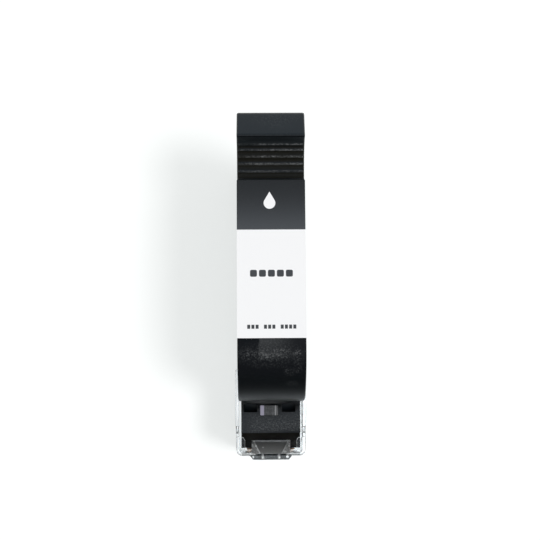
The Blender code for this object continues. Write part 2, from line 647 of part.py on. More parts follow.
def flex_circuit(datum):
    """The flexible circuit: up the back of the snout, round its edge and over the printhead."""
    polyimide = material("amber_polyimide", (0.36, 0.17, 0.04), 0.30)
    tail = HEAD_MIDDLE + WINDOW_HALF_LENGTH + FLEX_TAIL
    corners = ((FLEX_END, CONTACT_FACE, 0.0),
               (FLEX_END, CONTACT_FACE + FLEX_THICKNESS, 0.0),
               (FLEX_THICKNESS, CONTACT_FACE + FLEX_THICKNESS, FLEX_FOLD - FLEX_THICKNESS),
               (FLEX_THICKNESS, tail, 0.0),
               (0.0, tail, 0.0),
               (0.0, CONTACT_FACE, FLEX_FOLD))
    circuit = place("flex_circuit", slab(corners, -FLEX_WIDTH / 2, FLEX_WIDTH / 2), datum, polyimide)
    shape(circuit, "DIFFERENCE", "cut_head_window", block(
        (-WINDOW_HALF_WIDTH, WINDOW_HALF_WIDTH), (-CUT_PAST, FLEX_THICKNESS + CUT_PAST),
        (HEAD_MIDDLE - WINDOW_HALF_LENGTH, HEAD_MIDDLE + WINDOW_HALF_LENGTH)))
    shape(circuit, "UNION", "add_contact_pads", contact_pads())
    return circuit


def mirrored(right_half):
    """A closed outline from its right half, which runs upwards from the middle."""
    left_half = [(-x, y, radius) for x, y, radius in reversed(right_half)]
    return tuple(right_half + left_half)


def clip_outlines():
    """The clip's outer outline, its cavity and the opening in its front wall, seen from the front."""
    channel = CHANNEL_WIDTH / 2
    tongue = CLIP_TONGUE_WIDTH / 2
    outer = mirrored([
        (channel - CHANNEL_CHAMFER, CHANNEL_BOTTOM, 0.0),
        (channel, CLIP_BOTTOM, 0.0),
        (CLIP_LOW_OUTER, CLIP_BOTTOM, CLIP_CORNER),
        (CLIP_OUTER, CLIP_FLARE_HEIGHT, 0.0),
        (CLIP_OUTER, CLIP_ARM_HEIGHT, 0.0),
        (tongue, CLIP_ARM_HEIGHT, 0.0),
        (tongue, CLIP_TONGUE_HEIGHT, CLIP_TONGUE_CORNER)])
    cavity = mirrored([
        (channel - CLIP_WALL - CHANNEL_CHAMFER, CHANNEL_BOTTOM + CLIP_WALL, 0.0),
        (channel - CLIP_WALL, -CLIP_FLOOR_GAP, 0.0),
        (CLIP_INNER, -CLIP_FLOOR_GAP, CLIP_CORNER - CLIP_WALL),
        (CLIP_INNER, CLIP_TONGUE_HEIGHT + CUT_PAST, 0.0)])
    flange = CLIP_LOW_OUTER - FLANGE_WIDTH
    sill = -CLIP_FLOOR_GAP - CLIP_SILL
    past = CLIP_OUTER + CUT_PAST
    opening = mirrored([
        (flange, sill, 0.0),
        (flange, FLANGE_HEIGHT, FLANGE_CORNER),
        (past, FLANGE_HEIGHT, 0.0),
        (past, CLIP_TONGUE_HEIGHT + 2 * CUT_PAST, 0.0)])
    return outer, cavity, opening


def narrowed(form, low, high, share):
    """A form whose width falls from whole at high to a share of it at low."""
    for corner in form.verts:
        corner.co.x *= share + (1 - share) * (corner.co.y - low) / (high - low)
    return form


def thumb_lip(clip):
    """The wedge on the clip's front that a thumb pushes down, with its hollowed face."""
    low = CLIP_BOTTOM + LIP_SUNK
    tip = CLIP_FRONT + LIP_REACH
    root = CLIP_FRONT - LIP_SUNK / 2
    wedge = ((low, CLIP_FRONT_INNER + LIP_SUNK / 2, 0.0),
             (LIP_HEIGHT, CLIP_FRONT_INNER + LIP_SUNK / 2, 0.0),
             (LIP_HEIGHT, tip, TIP_ROUND),
             (low, root, 0.0))
    shape(clip, "UNION", "add_thumb_lip", slab(wedge, -LIP_WIDTH / 2, LIP_WIDTH / 2))
    inside = LIP_WIDTH / 2 - LIP_CHEEK
    rise = (tip - root) / (LIP_HEIGHT - low)
    foot = low + LIP_SUNK
    top = LIP_HEIGHT + CUT_PAST
    hollow = ((foot, root + rise * (foot - low) - LIP_HOLLOW, 0.0),
              (top, root + rise * (top - low) - LIP_HOLLOW, 0.0),
              (top, tip + 2 * CUT_PAST, 0.0),
              (foot, tip + 2 * CUT_PAST, 0.0))
    shape(clip, "DIFFERENCE", "cut_thumb_lip", narrowed(
        slab(hollow, -inside, inside), low, LIP_HEIGHT, LIP_TAPER))
    ribs = []
    for x in (-LIP_RIB_SPREAD, LIP_RIB_SPREAD):
        ribs.append(block((x - LIP_RIB_WIDTH / 2, x + LIP_RIB_WIDTH / 2),
                          (CHANNEL_BOTTOM + LIP_SUNK, CLIP_BOTTOM + CLIP_WALL / 2),
                          (CLIP_FRONT - LIP_SUNK, CLIP_FRONT + LIP_RIB_PROUD)))
    shape(clip, "UNION", "add_lip_ribs", together(ribs))


def protective_clip(carrier):
    """The clear clip over the snout."""
    clear = material("clear_clip_plastic", (0.93, 0.94, 0.95), 0.05, alpha=0.35)
    outer, cavity, opening = clip_outlines()
    clip = place("protective_clip", slab(outer, 0.0, CLIP_FRONT, ring=front_ring), carrier, clear)
    past = CLIP_FRONT + CUT_PAST
    trim = ((CHANNEL_BOTTOM - CUT_PAST, -CUT_PAST, 0.0),
            (CLIP_TONGUE_HEIGHT + CUT_PAST, -CUT_PAST, 0.0),
            (CLIP_TONGUE_HEIGHT + CUT_PAST, CLIP_NOTCH, 0.0),
            (CLIP_ARM_HEIGHT, CLIP_NOTCH, 0.0),
            (CLIP_ARM_HEIGHT, CLIP_ARM_END, CLIP_ARM_CORNER),
            (2 * FLANGE_HEIGHT, past, 0.0),
            (CHANNEL_BOTTOM - CUT_PAST, past, 0.0))
    reach = CLIP_OUTER + CUT_PAST
    shape(clip, "INTERSECT", "keep_clip_side", slab(trim, -reach, reach))
    shape(clip, "DIFFERENCE", "cut_clip_cavity", slab(
        cavity, CLIP_BACK_WALL, CLIP_FRONT_INNER, ring=front_ring))
    shape(clip, "DIFFERENCE", "cut_clip_front", slab(opening, SNOUT_DEPTH, past, ring=front_ring))
    thumb_lip(clip)
    dimples = []
    for side in (-1, 1):
        dimples.append(rod(
            DIMPLE_RADIUS,
            (side * (CLIP_LOW_OUTER - DIMPLE_DEPTH), DIMPLE_HEIGHT, DIMPLE_FROM_BACK),
            (side * (CLIP_OUTER + CUT_PAST), DIMPLE_HEIGHT, DIMPLE_FROM_BACK)))
    shape(clip, "DIFFERENCE", "cut_clip_dimples", together(dimples))
    return clip


def nozzle_seal(carrier):
    """The soft pad in the clip's channel that presses on the nozzles."""
    foam = material("seal_elastomer", (0.30, 0.31, 0.33), 0.70)
    low = CHANNEL_BOTTOM + CLIP_WALL + SEAT_GAP
    return place("nozzle_seal", block(
        (-SEAL_WIDTH / 2, SEAL_WIDTH / 2), (low, -SEAT_GAP),
        (HEAD_MIDDLE - SEAL_LENGTH / 2, HEAD_MIDDLE + SEAL_LENGTH / 2), edge=SEAL_ROUND), carrier, foam)


def build():
    for old in list(bpy.data.objects):
        bpy.data.objects.remove(old)
    datum = empty("nozzle_datum", (0.0, -BOX_MIDDLE, 0.0))
    pen_body(datum)
    inner_frame(datum)
    filter_screen(datum)
    spine_label(datum)
    fill_plug(datum)
    printhead(datum)
    flex_circuit(datum)
    bow_spring(datum)
    for side, word in ((-1, "left"), (1, "right")):
        side_cover(f"side_cover_{word}", side, datum)
        bag_film(f"bag_film_{word}", side, datum)
        slide = empty(f"{word}_plate_slide", (side * PLATE_INNER, *CHAMBER_MIDDLE), datum)
        edge_guard(f"edge_guard_{word}", side, slide)
        spring_plate(f"spring_plate_{word}", side, slide)
    pull = empty("clip_pull", (0.0, CHANNEL_BOTTOM, HEAD_MIDDLE), datum)
    protective_clip(pull)
    nozzle_seal(pull)


build()
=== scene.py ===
"""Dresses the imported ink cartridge: finishes for every solid, the pressed covers, the ink bag, the
clear clip and the label's print, and the white table that it lies on."""

import math

import bmesh
import bpy
from bpy.props import FloatProperty, FloatVectorProperty, IntProperty, PointerProperty
from mathutils import Matrix, Vector, noise


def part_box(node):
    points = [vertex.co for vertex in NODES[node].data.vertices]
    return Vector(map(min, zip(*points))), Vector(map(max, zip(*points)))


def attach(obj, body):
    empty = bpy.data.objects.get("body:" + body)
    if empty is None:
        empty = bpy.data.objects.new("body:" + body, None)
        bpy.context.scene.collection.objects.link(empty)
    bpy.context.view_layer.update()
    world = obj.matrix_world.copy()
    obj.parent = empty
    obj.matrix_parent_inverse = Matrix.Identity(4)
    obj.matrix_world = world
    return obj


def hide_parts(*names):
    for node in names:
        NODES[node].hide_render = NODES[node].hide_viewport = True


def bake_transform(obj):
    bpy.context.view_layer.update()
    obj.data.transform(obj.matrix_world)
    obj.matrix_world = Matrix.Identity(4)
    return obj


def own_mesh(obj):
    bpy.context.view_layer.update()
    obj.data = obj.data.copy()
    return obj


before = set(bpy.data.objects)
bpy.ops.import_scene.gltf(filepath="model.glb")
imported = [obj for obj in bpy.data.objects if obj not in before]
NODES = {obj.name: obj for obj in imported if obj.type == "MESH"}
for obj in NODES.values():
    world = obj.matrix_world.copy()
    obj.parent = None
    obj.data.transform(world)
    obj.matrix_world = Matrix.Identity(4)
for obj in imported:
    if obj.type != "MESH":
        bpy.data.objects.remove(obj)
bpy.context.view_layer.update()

bl_info = {
    "name": "Spring-bag ink cartridge",
    "version": (1, 0, 0),
    "blender": (4, 5, 0),
    "location": "3D View > Sidebar > Cartridge",
    "description": "Dresses a spring-bag inkjet cartridge that lies on its back spine",
    "category": "Object",
}

MM = 0.001

# The finger scoop and the beak over it, in millimetres, as (Y, Z)
SCOOP_CENTRE = (34.42, 76.3)
SCOOP_RADIUS = 9.8
BEAK_TIP = (44.25, 75.4)

# The snout's dark tip begins this far below the plug, and a face belongs to the front from this share
# of the front's height on
TIP_BELOW_PLUG = 4.4 * MM
NEAR_FRONT = 0.9

# Wear on the belly, and painted highlights on the thumb lip, as (X, Y, half width, half length, strength),
# in millimetres
BELLY_SMEARS = ((-2.2, -20.2, 3.4, 1.7, 0.9), (2.9, -19.6, 3.8, 1.7, 0.7), (-7.4, -19.8, 3.2, 2.2, 0.35),
                (7.6, -19.3, 1.5, 0.9, 1.1))
BELLY_FLECKS = ((5.2, -24.9, 2.2, 1.7, 0.6), (7.5, -25.0, 0.55, 0.6, 1.0), (6.0, -28.4, 2.4, 1.0, 0.5),
                (8.0, -22.5, 1.8, 3.4, 0.5))
LIP_HIGHLIGHTS = ((4.6, -50.2, 0.7, 0.4, 1.5), (-4.9, -48.3, 0.45, 0.45, 1.0), (-2.6, -48.8, 0.4, 0.3, 0.7))

# The plug's painted coloured light on its left edge, in millimetres from its left side, and its painted
# highlight on a pale step, from its right side
PLUG_EDGE_LIGHT = (1.36, 1.24)
PLUG_STEP_HIGHLIGHT = (1.05, 0.72)

# The label's print, in millimetres: the drop, the row of rounded squares and the row of small dashes,
# two of which are left out as gaps
DROP_LEFT, DROP_FROM_TOP, DROP_RADIUS = 0.45, 6.95, 1.75
DROP_TIP, DROP_SLOPE = 3.45, 0.589
SQUARES_RISE, SQUARES_HALF, SQUARE_PITCH = 19.2, 6.65, 2.66
DASHES_RISE, DASHES_HALF, DASH_PITCH = (2.75, 3.95), 7.4, 1.2333
GAPS = ((2.5, 3.5), (6.5, 7.5))

# The clip's front wall, the radius of its lower corners, how far its painted dark outline lies inside its
# side and
#  its foot, half its channel, and the thumb lip's foot and top, in millimetres
CLIP_FRONT = 31.5
CLIP_CORNER = 1.8
RIM_SIDE, RIM_FOOT = 0.5, 1.3
CHANNEL_HALF = 7.0
LIP_REACH = (-51.15, -46.55)

# The inner edge of the clip's front wall: its depth below the wall's face, half its width and its top
EDGE_DEPTH, EDGE_HALF, EDGE_TOP = (1.1, 0.1), 8.6, -45.0

# Half the width of the lip's hollow at its foot, and what it gains up to its top, in millimetres
HOLLOW_HALF, HOLLOW_SPREAD = 3.5, 2.2

# The film's grid and folds, and how much finer the small folds are
FILM_GRID = 2.5 * MM
FOLD_LENGTH = 9.0 * MM
SMALL_FOLDS = 2.3

# How much narrower the bow spring is at its turns
BAND_TAPER = 0.35

# The filter's weave in radians, the nozzles per millimetre with their two rows, and the circuit's traces
WEAVE = 30
NOZZLES, NOZZLE_ROW = 3.0, 0.9
TRACE_PITCH = 0.55

# The camera, as fitted to the photograph: its place in metres, and its turns in degrees, in this order
CAMERA_PLACE = (-0.00403, -0.0313, 0.3657)
CAMERA_TURNS = (("Y", -0.7), ("X", 7.0), ("Z", -0.36))
SENSOR_WIDTH = 36.0
KEY_DIRECTION = (0.47, -0.14, 1.0)

# The table's half side in metres and its gap below the part, and the faint tints of the table, of the
# even light and of the stripes that are mirrored
TABLE_HALF = 3.0
TABLE_GAP = 0.02 * MM
TABLE_TINT = (0.972, 1.0, 0.992)
SKY_TINT = (0.975, 1.0, 0.990)
STRIPE_TINT = (0.90, 0.985, 1.09)
WHITE, BLACK = (1.0, 1.0, 1.0), (0.0, 0.0, 0.0)


def length(name, description, default):
    """A size in metres."""
    return FloatProperty(name=name, description=description, default=default, min=0.0,
                         subtype="DISTANCE", unit="LENGTH", precision=5)


def share(name, description, default):
    """A number from 0 to 1."""
    return FloatProperty(name=name, description=description, default=default, min=0.0, max=1.0,
                         subtype="FACTOR")


def colour(name, description, default):
    """A linear colour."""
    return FloatVectorProperty(name=name, description=description, default=default, min=0.0, max=1.0,
                               size=3, subtype="COLOR")


class BodySettings(bpy.types.PropertyGroup):
    """The moulded body and its wear."""
    plastic: colour("Plastic", "Black moulded plastic", (0.0028, 0.0040, 0.0050))
    spine: colour("Spine", "Duller plastic at the top of the belly", (0.0056, 0.0064, 0.0080))
    grip: colour("Grip", "Dull plastic of the ribbed finger scoop", (0.0082, 0.0076, 0.0050))
    # Painted reflection: a bluish tone on the ribs where they face up, standing in for the light they mirror
    flank_reflection: colour("Flank", "Ribs where they face up", (0.0050, 0.0076, 0.0108))
    # Painted reflection: a lighter bluish tone on the beak's front, standing in for the light it mirrors
    beak: colour("Beak", "Front of the beak over the scoop", (0.0085, 0.0118, 0.0140))
    head: colour("Head", "Dark plastic round the printhead", (0.0050, 0.0046, 0.0036))
    # Pale rubbed plastic, and also the painted highlight along the ribs' crests and in the snout's fillet
    wear_and_highlight: colour("Worn", "Plastic rubbed pale along the ribs", (0.130, 0.135, 0.138))
    dust: colour("Dust", "Dust and scuffs on the plastic", (0.088, 0.091, 0.094))
    roughness: share("Roughness", "Roughness of the clean plastic", 0.36)
    plug: colour("Plug", "Grey plastic of the fill port's plug", (0.036, 0.037, 0.0385))
    plug_dust: colour("Plug dust", "Dust on the plug", (0.130, 0.130, 0.135))
    plug_lines: colour("Plug lines", "Fine lines along the plug", (0.220, 0.220, 0.225))
    plug_edge_light: colour("Plug edge", "Coloured light on the plug's left edge", (0.330, 0.310, 0.400))
    # Painted highlight: a pale line on the plug's right step
    plug_step_highlight: colour("Plug step", "Pale step at the plug's right", (0.340, 0.340, 0.350))


class CoverSettings(bpy.types.PropertyGroup):
    """The pressed steel covers on the two sides."""
    steel: colour("Steel", "Rolled sheet steel", (0.46, 0.46, 0.45))
    border: length("Border", "From the cover's edge to its pressed panel", 0.0040)
    panel_step: length("Panel step", "Width of the slope round the panel", 0.0006)
    panel_depth: length("Panel depth", "How far the panel is pressed in", 0.00044)


class LabelSettings(bpy.types.PropertyGroup):
    """The printed label on the front spine."""
    paper: colour("Paper", "Coated white paper", (0.878, 0.871, 0.883))
    ink: colour("Ink", "Printed black field", (0.0060, 0.0066, 0.0072))
    grey: colour("Grey ink", "Printed marks on the white field", (0.040, 0.042, 0.046))
    black_field: length("Black field", "Length of the black field from the label's upper edge", 0.0150)


class ClipSettings(bpy.types.PropertyGroup):
    """The clear protective clip."""
    tint: colour("Tint", "Colour of the clear plastic", (0.975, 0.980, 0.983))
    # Painted shade: dark lines along the rim of the clear walls and in the channel, standing in for dark
    # things seen through them
    outline: colour("Outline", "Dark lines along the rim of the clear walls", (0.012, 0.013, 0.014))
    # Both the frosted plastic's colour and the painted pale light on the thumb lip, which is mixed with a
    # near-black painted shade
    frost: colour("Frost", "Frosted face of the thumb lip and the bright cut edges", (0.86, 0.87, 0.88))
    edge: length("Edge rounding", "Rounding of the moulded edges", 0.00014)
    seal: colour("Seal", "Soft pad over the nozzles", (0.075, 0.078, 0.085))


class BagSettings(bpy.types.PropertyGroup):
    """The ink bag, its plates and the spring between them."""
    film: colour("Film", "Metallised film of the bag", (0.62, 0.63, 0.65))
    film_thickness: length("Film thickness", "Of one wall of the bag", 0.0002)
    crease: length("Crease", "Height of the film's creases", 0.00022)
    guard: colour("Guard", "Film frame over a plate's edges", (0.70, 0.71, 0.72))
    plate: colour("Plate", "Steel of the pressure plates", (0.58, 0.58, 0.58))
    spring: colour("Spring", "Sprung steel band", (0.46, 0.46, 0.47))
    strip: length("Strip", "Thickness of the spring's band", 0.00035)
    turns: IntProperty(name="Facets", description="Facets round the bow spring", default=96, min=24)


class InsideSettings(bpy.types.PropertyGroup):
    """The liner, the filter, the printhead and its flexible circuit."""
    liner: colour("Liner", "Soft plastic of the liner ring", (0.60, 0.58, 0.52))
    liner_shade: colour("Liner shade", "Darker clouds in the liner", (0.52, 0.50, 0.45))
    wire: colour("Wire", "Woven steel of the filter", (0.50, 0.50, 0.48))
    mesh_gap: colour("Mesh gap", "Between the filter's wires", (0.12, 0.12, 0.11))
    silicon: colour("Silicon", "Die of the printhead", (0.10, 0.10, 0.12))
    gold: colour("Gold", "Plated metal round the nozzles", (0.83, 0.62, 0.28))
    nozzle: colour("Nozzle", "Inside of a nozzle", (0.03, 0.02, 0.01))
    resin: colour("Resin", "Beads over the die's bonds", (0.03, 0.03, 0.035))
    amber: colour("Amber", "Film of the flexible circuit", (0.42, 0.20, 0.05))
    trace: colour("Trace", "Copper that shows through the film", (0.24, 0.10, 0.02))
    pad: colour("Pad", "Plated contact pads", (0.85, 0.64, 0.30))


class StageSettings(bpy.types.PropertyGroup):
    """The table, the light and the camera."""
    floor: share("Floor", "Paleness of the table", 0.42)
    glow: share("Glow", "How far the table's own paleness shows beyond its light", 0.64)
    through: share("Through", "Paleness of the table where it is seen through clear plastic", 0.79)
    sky: share("Sky", "Even light from all sides", 0.55)
    key: FloatProperty(name="Key", description="Strength of the soft key light", default=1.85, min=0.0)
    key_softness: FloatProperty(name="Key softness", description="How wide the key light is",
                                default=math.radians(16), subtype="ANGLE", unit="ROTATION")
    focal: FloatProperty(name="Focal length", description="Of the camera, in millimetres", default=67.0)


class Value:
    """A shader socket that can stand in a Python expression."""

    def __init__(self, finish, socket):
        self.finish = finish
        self.socket = socket

    def math(self, operation, *terms):
        return self.finish.node("ShaderNodeMath", {"operation": operation}, dict(enumerate(terms)))

    def __add__(self, other):
        return self.math("ADD", self, other)

    def __sub__(self, other):
        return self.math("SUBTRACT", self, other)

    def __mul__(self, other):
        return self.math("MULTIPLY", self, other)

    def __truediv__(self, other):
        return self.math("DIVIDE", self, other)

    def __rsub__(self, other):
        return self.math("SUBTRACT", other, self)

    def __pow__(self, other):
        return self.math("POWER", self, other)

    def __abs__(self):
        return self.math("ABSOLUTE", self)

    __radd__ = __add__
    __rmul__ = __mul__

    def step(self, low, high):
        """0 below low, 1 above high, and smooth between them."""
        return self.finish.node("ShaderNodeMapRange", {"interpolation_type": "SMOOTHSTEP"},
                                {"Value": self, "From Min": low, "From Max": high})

    def within(self, low, high, soft=0.03):
        """1 between low and high, with soft edges."""
        return self.step(low - soft, low + soft) * (1 - self.step(high - soft, high + soft))

    def floor(self):
        return self.math("FLOOR", self)

    def sine(self):
        return self.math("SINE", self)

    def above(self, low):
        """The value, but never under low."""
        return self.math("MAXIMUM", self, low)


def stripes(*tones):
    """Stops for a ramp over the lean of a mirrored ray, from -90 degrees, low on the snout's side, to
    90 degrees, low on the grip's side."""
    return [((lean + 90) / 180, [tone * tint for tint in STRIPE_TINT]) for lean, tone in tones]


# What glossy surfaces mirror, as (place from 0 to 1, tone): the room over the ray's lean, the walls at the
# two sides over the ray's height, and the table over its last 400 mm towards the part
ROOM_IN_MIRROR = [
    *stripes((-90, 0.01), (-70, 0.01), (-52, 0.035), (-34, 0.21), (-15, 0.74), (2, 0.62), (5, 1.0),
             (8.3, 2.7), (9.4, 2.4), (10.1, 1.22), (10.8, 0.61), (12.0, 0.46), (13.5, 0.36)),
    (0.600, (0.09, 0.20, 0.27)), (0.722, (0.24, 0.30, 0.34)), (0.844, (0.46, 0.60, 0.73)),
    (1.0, (0.76, 0.84, 0.92))]
WALLS_IN_MIRROR = [(0.0, (0.10,) * 3), (0.40, (0.30,) * 3), (0.52, (0.80,) * 3), (0.62, (1.25,) * 3),
                   (0.74, (0.55,) * 3), (1.0, (0.90,) * 3)]
TABLE_IN_MIRROR = [(0.0, (0.04,) * 3), (0.25, (0.06,) * 3), (0.60, (0.24, 0.26, 0.27)),
                   (0.75, (0.53, 0.57, 0.60)), (0.90, (0.86, 0.92, 0.96)), (1.0, (0.88, 0.94, 0.98))]
TABLE_MIRRORED = 400


class Shader:
    """A node tree whose maths is written as Python expressions."""

    def __init__(self, tree):
        self.tree = tree

    def node(self, kind, settings, sockets, output=0):
        """Adds a node: its settings first, then the values or links of its sockets."""
        made = self.tree.nodes.new(kind)
        for name, value in settings.items():
            if name == "stops":
                for place, tone in value:
                    stop = made.color_ramp.elements.new(place)
                    stop.color = (*tone, 1.0)
                made.color_ramp.elements.remove(made.color_ramp.elements[0])
                made.color_ramp.elements.remove(made.color_ramp.elements[-1])
            else:
                setattr(made, name, value)
        for name, value in sockets.items():
            self.feed(made.inputs[name], value)
        return Value(self, made.outputs[output])

    def feed(self, socket, value):
        if isinstance(value, Value):
            self.tree.links.new(value.socket, socket)
        elif socket.type == "RGBA":
            socket.default_value = (*tuple(value)[:3], 1.0)
        else:
            socket.default_value = value

    def mix(self, share, low, high):
        """A colour between two colours."""
        return self.node("ShaderNodeMix", {"data_type": "RGBA"}, {0: share, 6: low, 7: high}, output=2)

    def axes(self, vector):
        """The X, Y and Z of a vector."""
        return [self.node("ShaderNodeSeparateXYZ", {}, {0: vector}, output=axis) for axis in "XYZ"]

    def ray(self, kind):
        """1 where the ray that meets the surface is of this kind."""
        return self.node("ShaderNodeLightPath", {}, {}, output=kind)

    def seen(self, share=1.0):
        """1 through clear plastic, and a share of it where the camera looks straight at it."""
        return (self.ray("Is Camera Ray") * share).above(self.ray("Is Transmission Ray"))


class Finish(Shader):
    """One procedural material. What is the same all over is set on the shader's own sockets."""

    def __init__(self, name, base, roughness, **fixed):
        self.made = bpy.data.materials.new(name)
        self.made.use_nodes = True
        super().__init__(self.made.node_tree)
        self.surface = self.tree.nodes["Principled BSDF"]
        self.made.diffuse_color = (*base, 1.0)
        self.set("Base Color", base)
        self.set("Roughness", roughness)
        for socket, value in fixed.items():
            self.set(socket.replace("_", " "), value)
        place = self.node("ShaderNodeTexCoord", {}, {}, output="Object")
        self.at = self.node("ShaderNodeVectorMath", {"operation": "SCALE"}, {0: place, "Scale": 1 / MM})
        self.x, self.y, self.z = self.axes(self.at)

    def set(self, socket, value):
        self.feed(self.surface.inputs[socket], value)

    def stretched(self, x, y, z):
        """Object coordinates in millimetres, drawn out along an axis."""
        return self.node("ShaderNodeVectorMath", {"operation": "MULTIPLY"}, {0: self.at, 1: (x, y, z)})

    def noise(self, scale, detail=2.0, roughness=0.5, at=None):
        """Cloudy noise from 0 to 1; scale counts per millimetre."""
        return self.node("ShaderNodeTexNoise", {}, {
            "Vector": at or self.at, "Scale": scale, "Detail": detail, "Roughness": roughness})

    def spot(self, x, y, wide, long):
        """1 at a point of the front, fading to 0 over an ellipse."""
        across, along = (self.x - x) / wide, (self.y - y) / long
        return (across * across + along * along).step(1.0, 0.0)

    def spots(self, places, under=0.0):
        """Spots of different strength, added one by one to what is under them."""
        for x, y, wide, long, strength in places:
            under = under + self.spot(x, y, wide, long) * strength
        return under

    def facing(self):
        """The X, Y and Z of the direction that the surface faces, from -1 to 1."""
        return self.axes(self.node("ShaderNodeNewGeometry", {}, {}, output="Normal"))

    def bump(self, height, distance):
        """A bump whose height from 0 to 1 stands for a distance in millimetres."""
        self.set("Normal", self.node("ShaderNodeBump", {}, {"Distance": distance * MM, "Height": height}))

    def dulled(self, share, gloss):
        """Mixes in the same surface with less gloss, by a share that can vary."""
        dull = self.tree.nodes.new("ShaderNodeBsdfPrincipled")
        for name in ("Base Color", "Roughness", "Normal"):
            socket = self.surface.inputs[name]
            if socket.is_linked:
                self.tree.links.new(socket.links[0].from_socket, dull.inputs[name])
        dull.inputs["Specular IOR Level"].default_value = gloss
        mixed = self.tree.nodes.new("ShaderNodeMixShader")
        self.feed(mixed.inputs[0], share)
        self.tree.links.new(self.surface.outputs[0], mixed.inputs[1])
        self.tree.links.new(dull.outputs[0], mixed.inputs[2])
        self.tree.links.new(mixed.outputs[0], self.tree.nodes["Material Output"].inputs["Surface"])


def dress(node, finish):
    """Gives a CAD node its finish, in its object's own slots."""
    solid = NODES[node]
    if not solid.data.materials:
        solid.data.materials.append(None)
    for slot in solid.material_slots:
        slot.link = "OBJECT"
        slot.material = finish.made


def skin(node):
    """A bmesh of a CAD node with its loose triangles merged and its flat faces whole."""
    form = bmesh.new()
    form.from_mesh(NODES[node].data)
    bmesh.ops.remove_doubles(form, verts=form.verts, dist=0.002 * MM)
    bmesh.ops.dissolve_limit(form, angle_limit=math.radians(0.6), use_dissolve_boundaries=False,
                             verts=form.verts, edges=form.edges, delimit={"NORMAL"})
    return form


def place(form, name, finishes, body, slot, smooth=math.radians(50)):
    """Turns a bmesh into a piece at the origin that rides on a body, if one is named."""
    mesh = bpy.data.meshes.new(name)
    form.to_mesh(mesh)
    form.free()
    mesh.shade_smooth()
    mesh.set_sharp_from_angle(angle=smooth)
    for finish in finishes:
        mesh.materials.append(finish.made)
    piece = bpy.data.objects.new(name, mesh)
    bpy.context.scene.collection.objects.link(piece)
    if body:
        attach(piece, body)
    return piece


def level_faces(piece):
    """Keeps the flat faces flat beside the rounded ones."""
    flat = piece.modifiers.new("flat faces", "WEIGHTED_NORMAL")
    flat.keep_sharp = True
    flat.weight = 80


def darker(tone, share):
    """A colour times a share."""
    return [part * share for part in tone]


def belly_wear(made, fine, cloud, specks):
    """Wear where the belly bends away: a dusty patch with a hooked edge, smears and a few flecks."""
    x, y, z = made.x, made.y, made.z
    belly = z.step(57.5, 61) * y.step(-33, -31)
    patch = x.step(-4.0, -3.4) * (1 - x.step(-1.5, 8.5) * 0.85) * y.step(-22.0, -19.8) * (
        0.30 + y.step(-17.6, -15.9) * 0.15) * y.step(-14.0, -14.8)
    hook = x.within(-4.0, -3.65, soft=0.10) * y.within(-19.4, -16.6, soft=0.5)
    hook = hook + x.within(-3.9, -2.6, soft=0.3) * y.within(-19.7, -19.35, soft=0.12)
    smears = made.spots(BELLY_SMEARS)
    haze = made.spot(-0.6, -20.0, 12.5, 4.8) * 0.34
    flecks = made.spots(BELLY_FLECKS)
    return belly * (patch * (0.75 + fine * 0.7) + hook * 0.16
                    + (smears * 2.0 + haze * 1.8) * fine * (0.30 + cloud)
                    + flecks * fine * 0.8 + specks.step(0.5, 0.75) * 0.06)


def snout_dust(made, fine, cloud):
    """Dust on the front of the snout and along its rim, a painted highlight along its fillet, and painted
    shade in its two pockets, where the dust is left out.
    """
    x, y, z = made.x, made.y, made.z
    front = z.within(29.2, 36, soft=0.3) * (y - x * 0.05).step(-44.2, -43.9)
    # Painted shade: the two pockets are left without dust, so they stay darker than the front around them
    pocket_shade = x.within(-8.1, -3.3, soft=0.3) + x.within(4.0, 8.0, soft=0.5)
    pocket_shade = y.within(-36.9, -34.5, soft=0.3) * pocket_shade
    middle = x.within(-7.0, 9.2, soft=1.6) * y.within(-43.6, -38.2, soft=1.0)
    grit = middle * (0.02 + fine * 0.95) * (0.5 + y.step(-39.5, -42.0) * 0.7)
    grit = grit * (0.55 + x.step(-9.0, -3.0) * 0.5) * (0.6 + cloud * 0.8)
    dust = front * (1 - pocket_shade) * (fine * 0.40 + grit)
    # Painted highlight: a pale spot along the fillet under the belly, with a few specks in it
    fillet_highlight = made.spot(-1.5, -33.9, 7.6, 1.15) * z.within(30.6, 36, soft=0.3) * (0.50 + fine * 0.2)
    rim = z.within(29.0, 30.4, soft=0.1) * x.step(8.6, 9.6) * y.within(-44, -38, soft=0.4) * fine * 0.5
    return dust, fillet_highlight * (1 - pocket_shade), rim


def body_plastic(settings):
    """Black plastic with its grain, the scuffed belly, the dusty front of the snout with a painted highlight
    in its fillet and painted shade in its pockets, and a blurred top.
    """
    made = Finish("body_plastic", settings.plastic, settings.roughness)
    grain = made.noise(9.0, detail=3.0)
    cloud = made.noise(0.22, detail=4.0, roughness=0.6)
    specks = made.noise(1.9, detail=5.0, roughness=0.8)
    fine = specks.step(0.40, 0.72) ** 1.5
    dust, fillet_highlight, rim = snout_dust(made, fine, cloud)
    top = made.z.step(70.6, 72.0) * made.y.step(43.0, 44.5)
    blur = top * made.spot(1.5, 50.6, 8.5, 4.6) * specks.step(0.48, 0.68) * 0.26
    # Wear and dust, with the fillet's painted highlight; the pockets' painted shade is where the dust is
    # left out
    wear_and_highlight = belly_wear(made, fine, cloud, specks) + dust + fillet_highlight + rim + blur
    dull = made.y.step(-14.0, -14.8) * made.z.step(66.0, 68.4)
    shade = made.mix(cloud.step(0.35, 0.7) * 0.4, settings.plastic, darker(settings.plastic, 0.75))
    shade = made.mix(dull * 0.9, shade, settings.spine)
    made.set("Base Color", made.mix(wear_and_highlight, shade, settings.dust))
    made.set("Roughness", settings.roughness - 0.05 + grain * 0.08 + cloud * 0.08 + wear_and_highlight * 0.25 - top * 0.14)
    made.bump(grain * 0.2 + specks * wear_and_highlight, 0.006)
    made.dulled(dull, gloss=0.06)
    return made


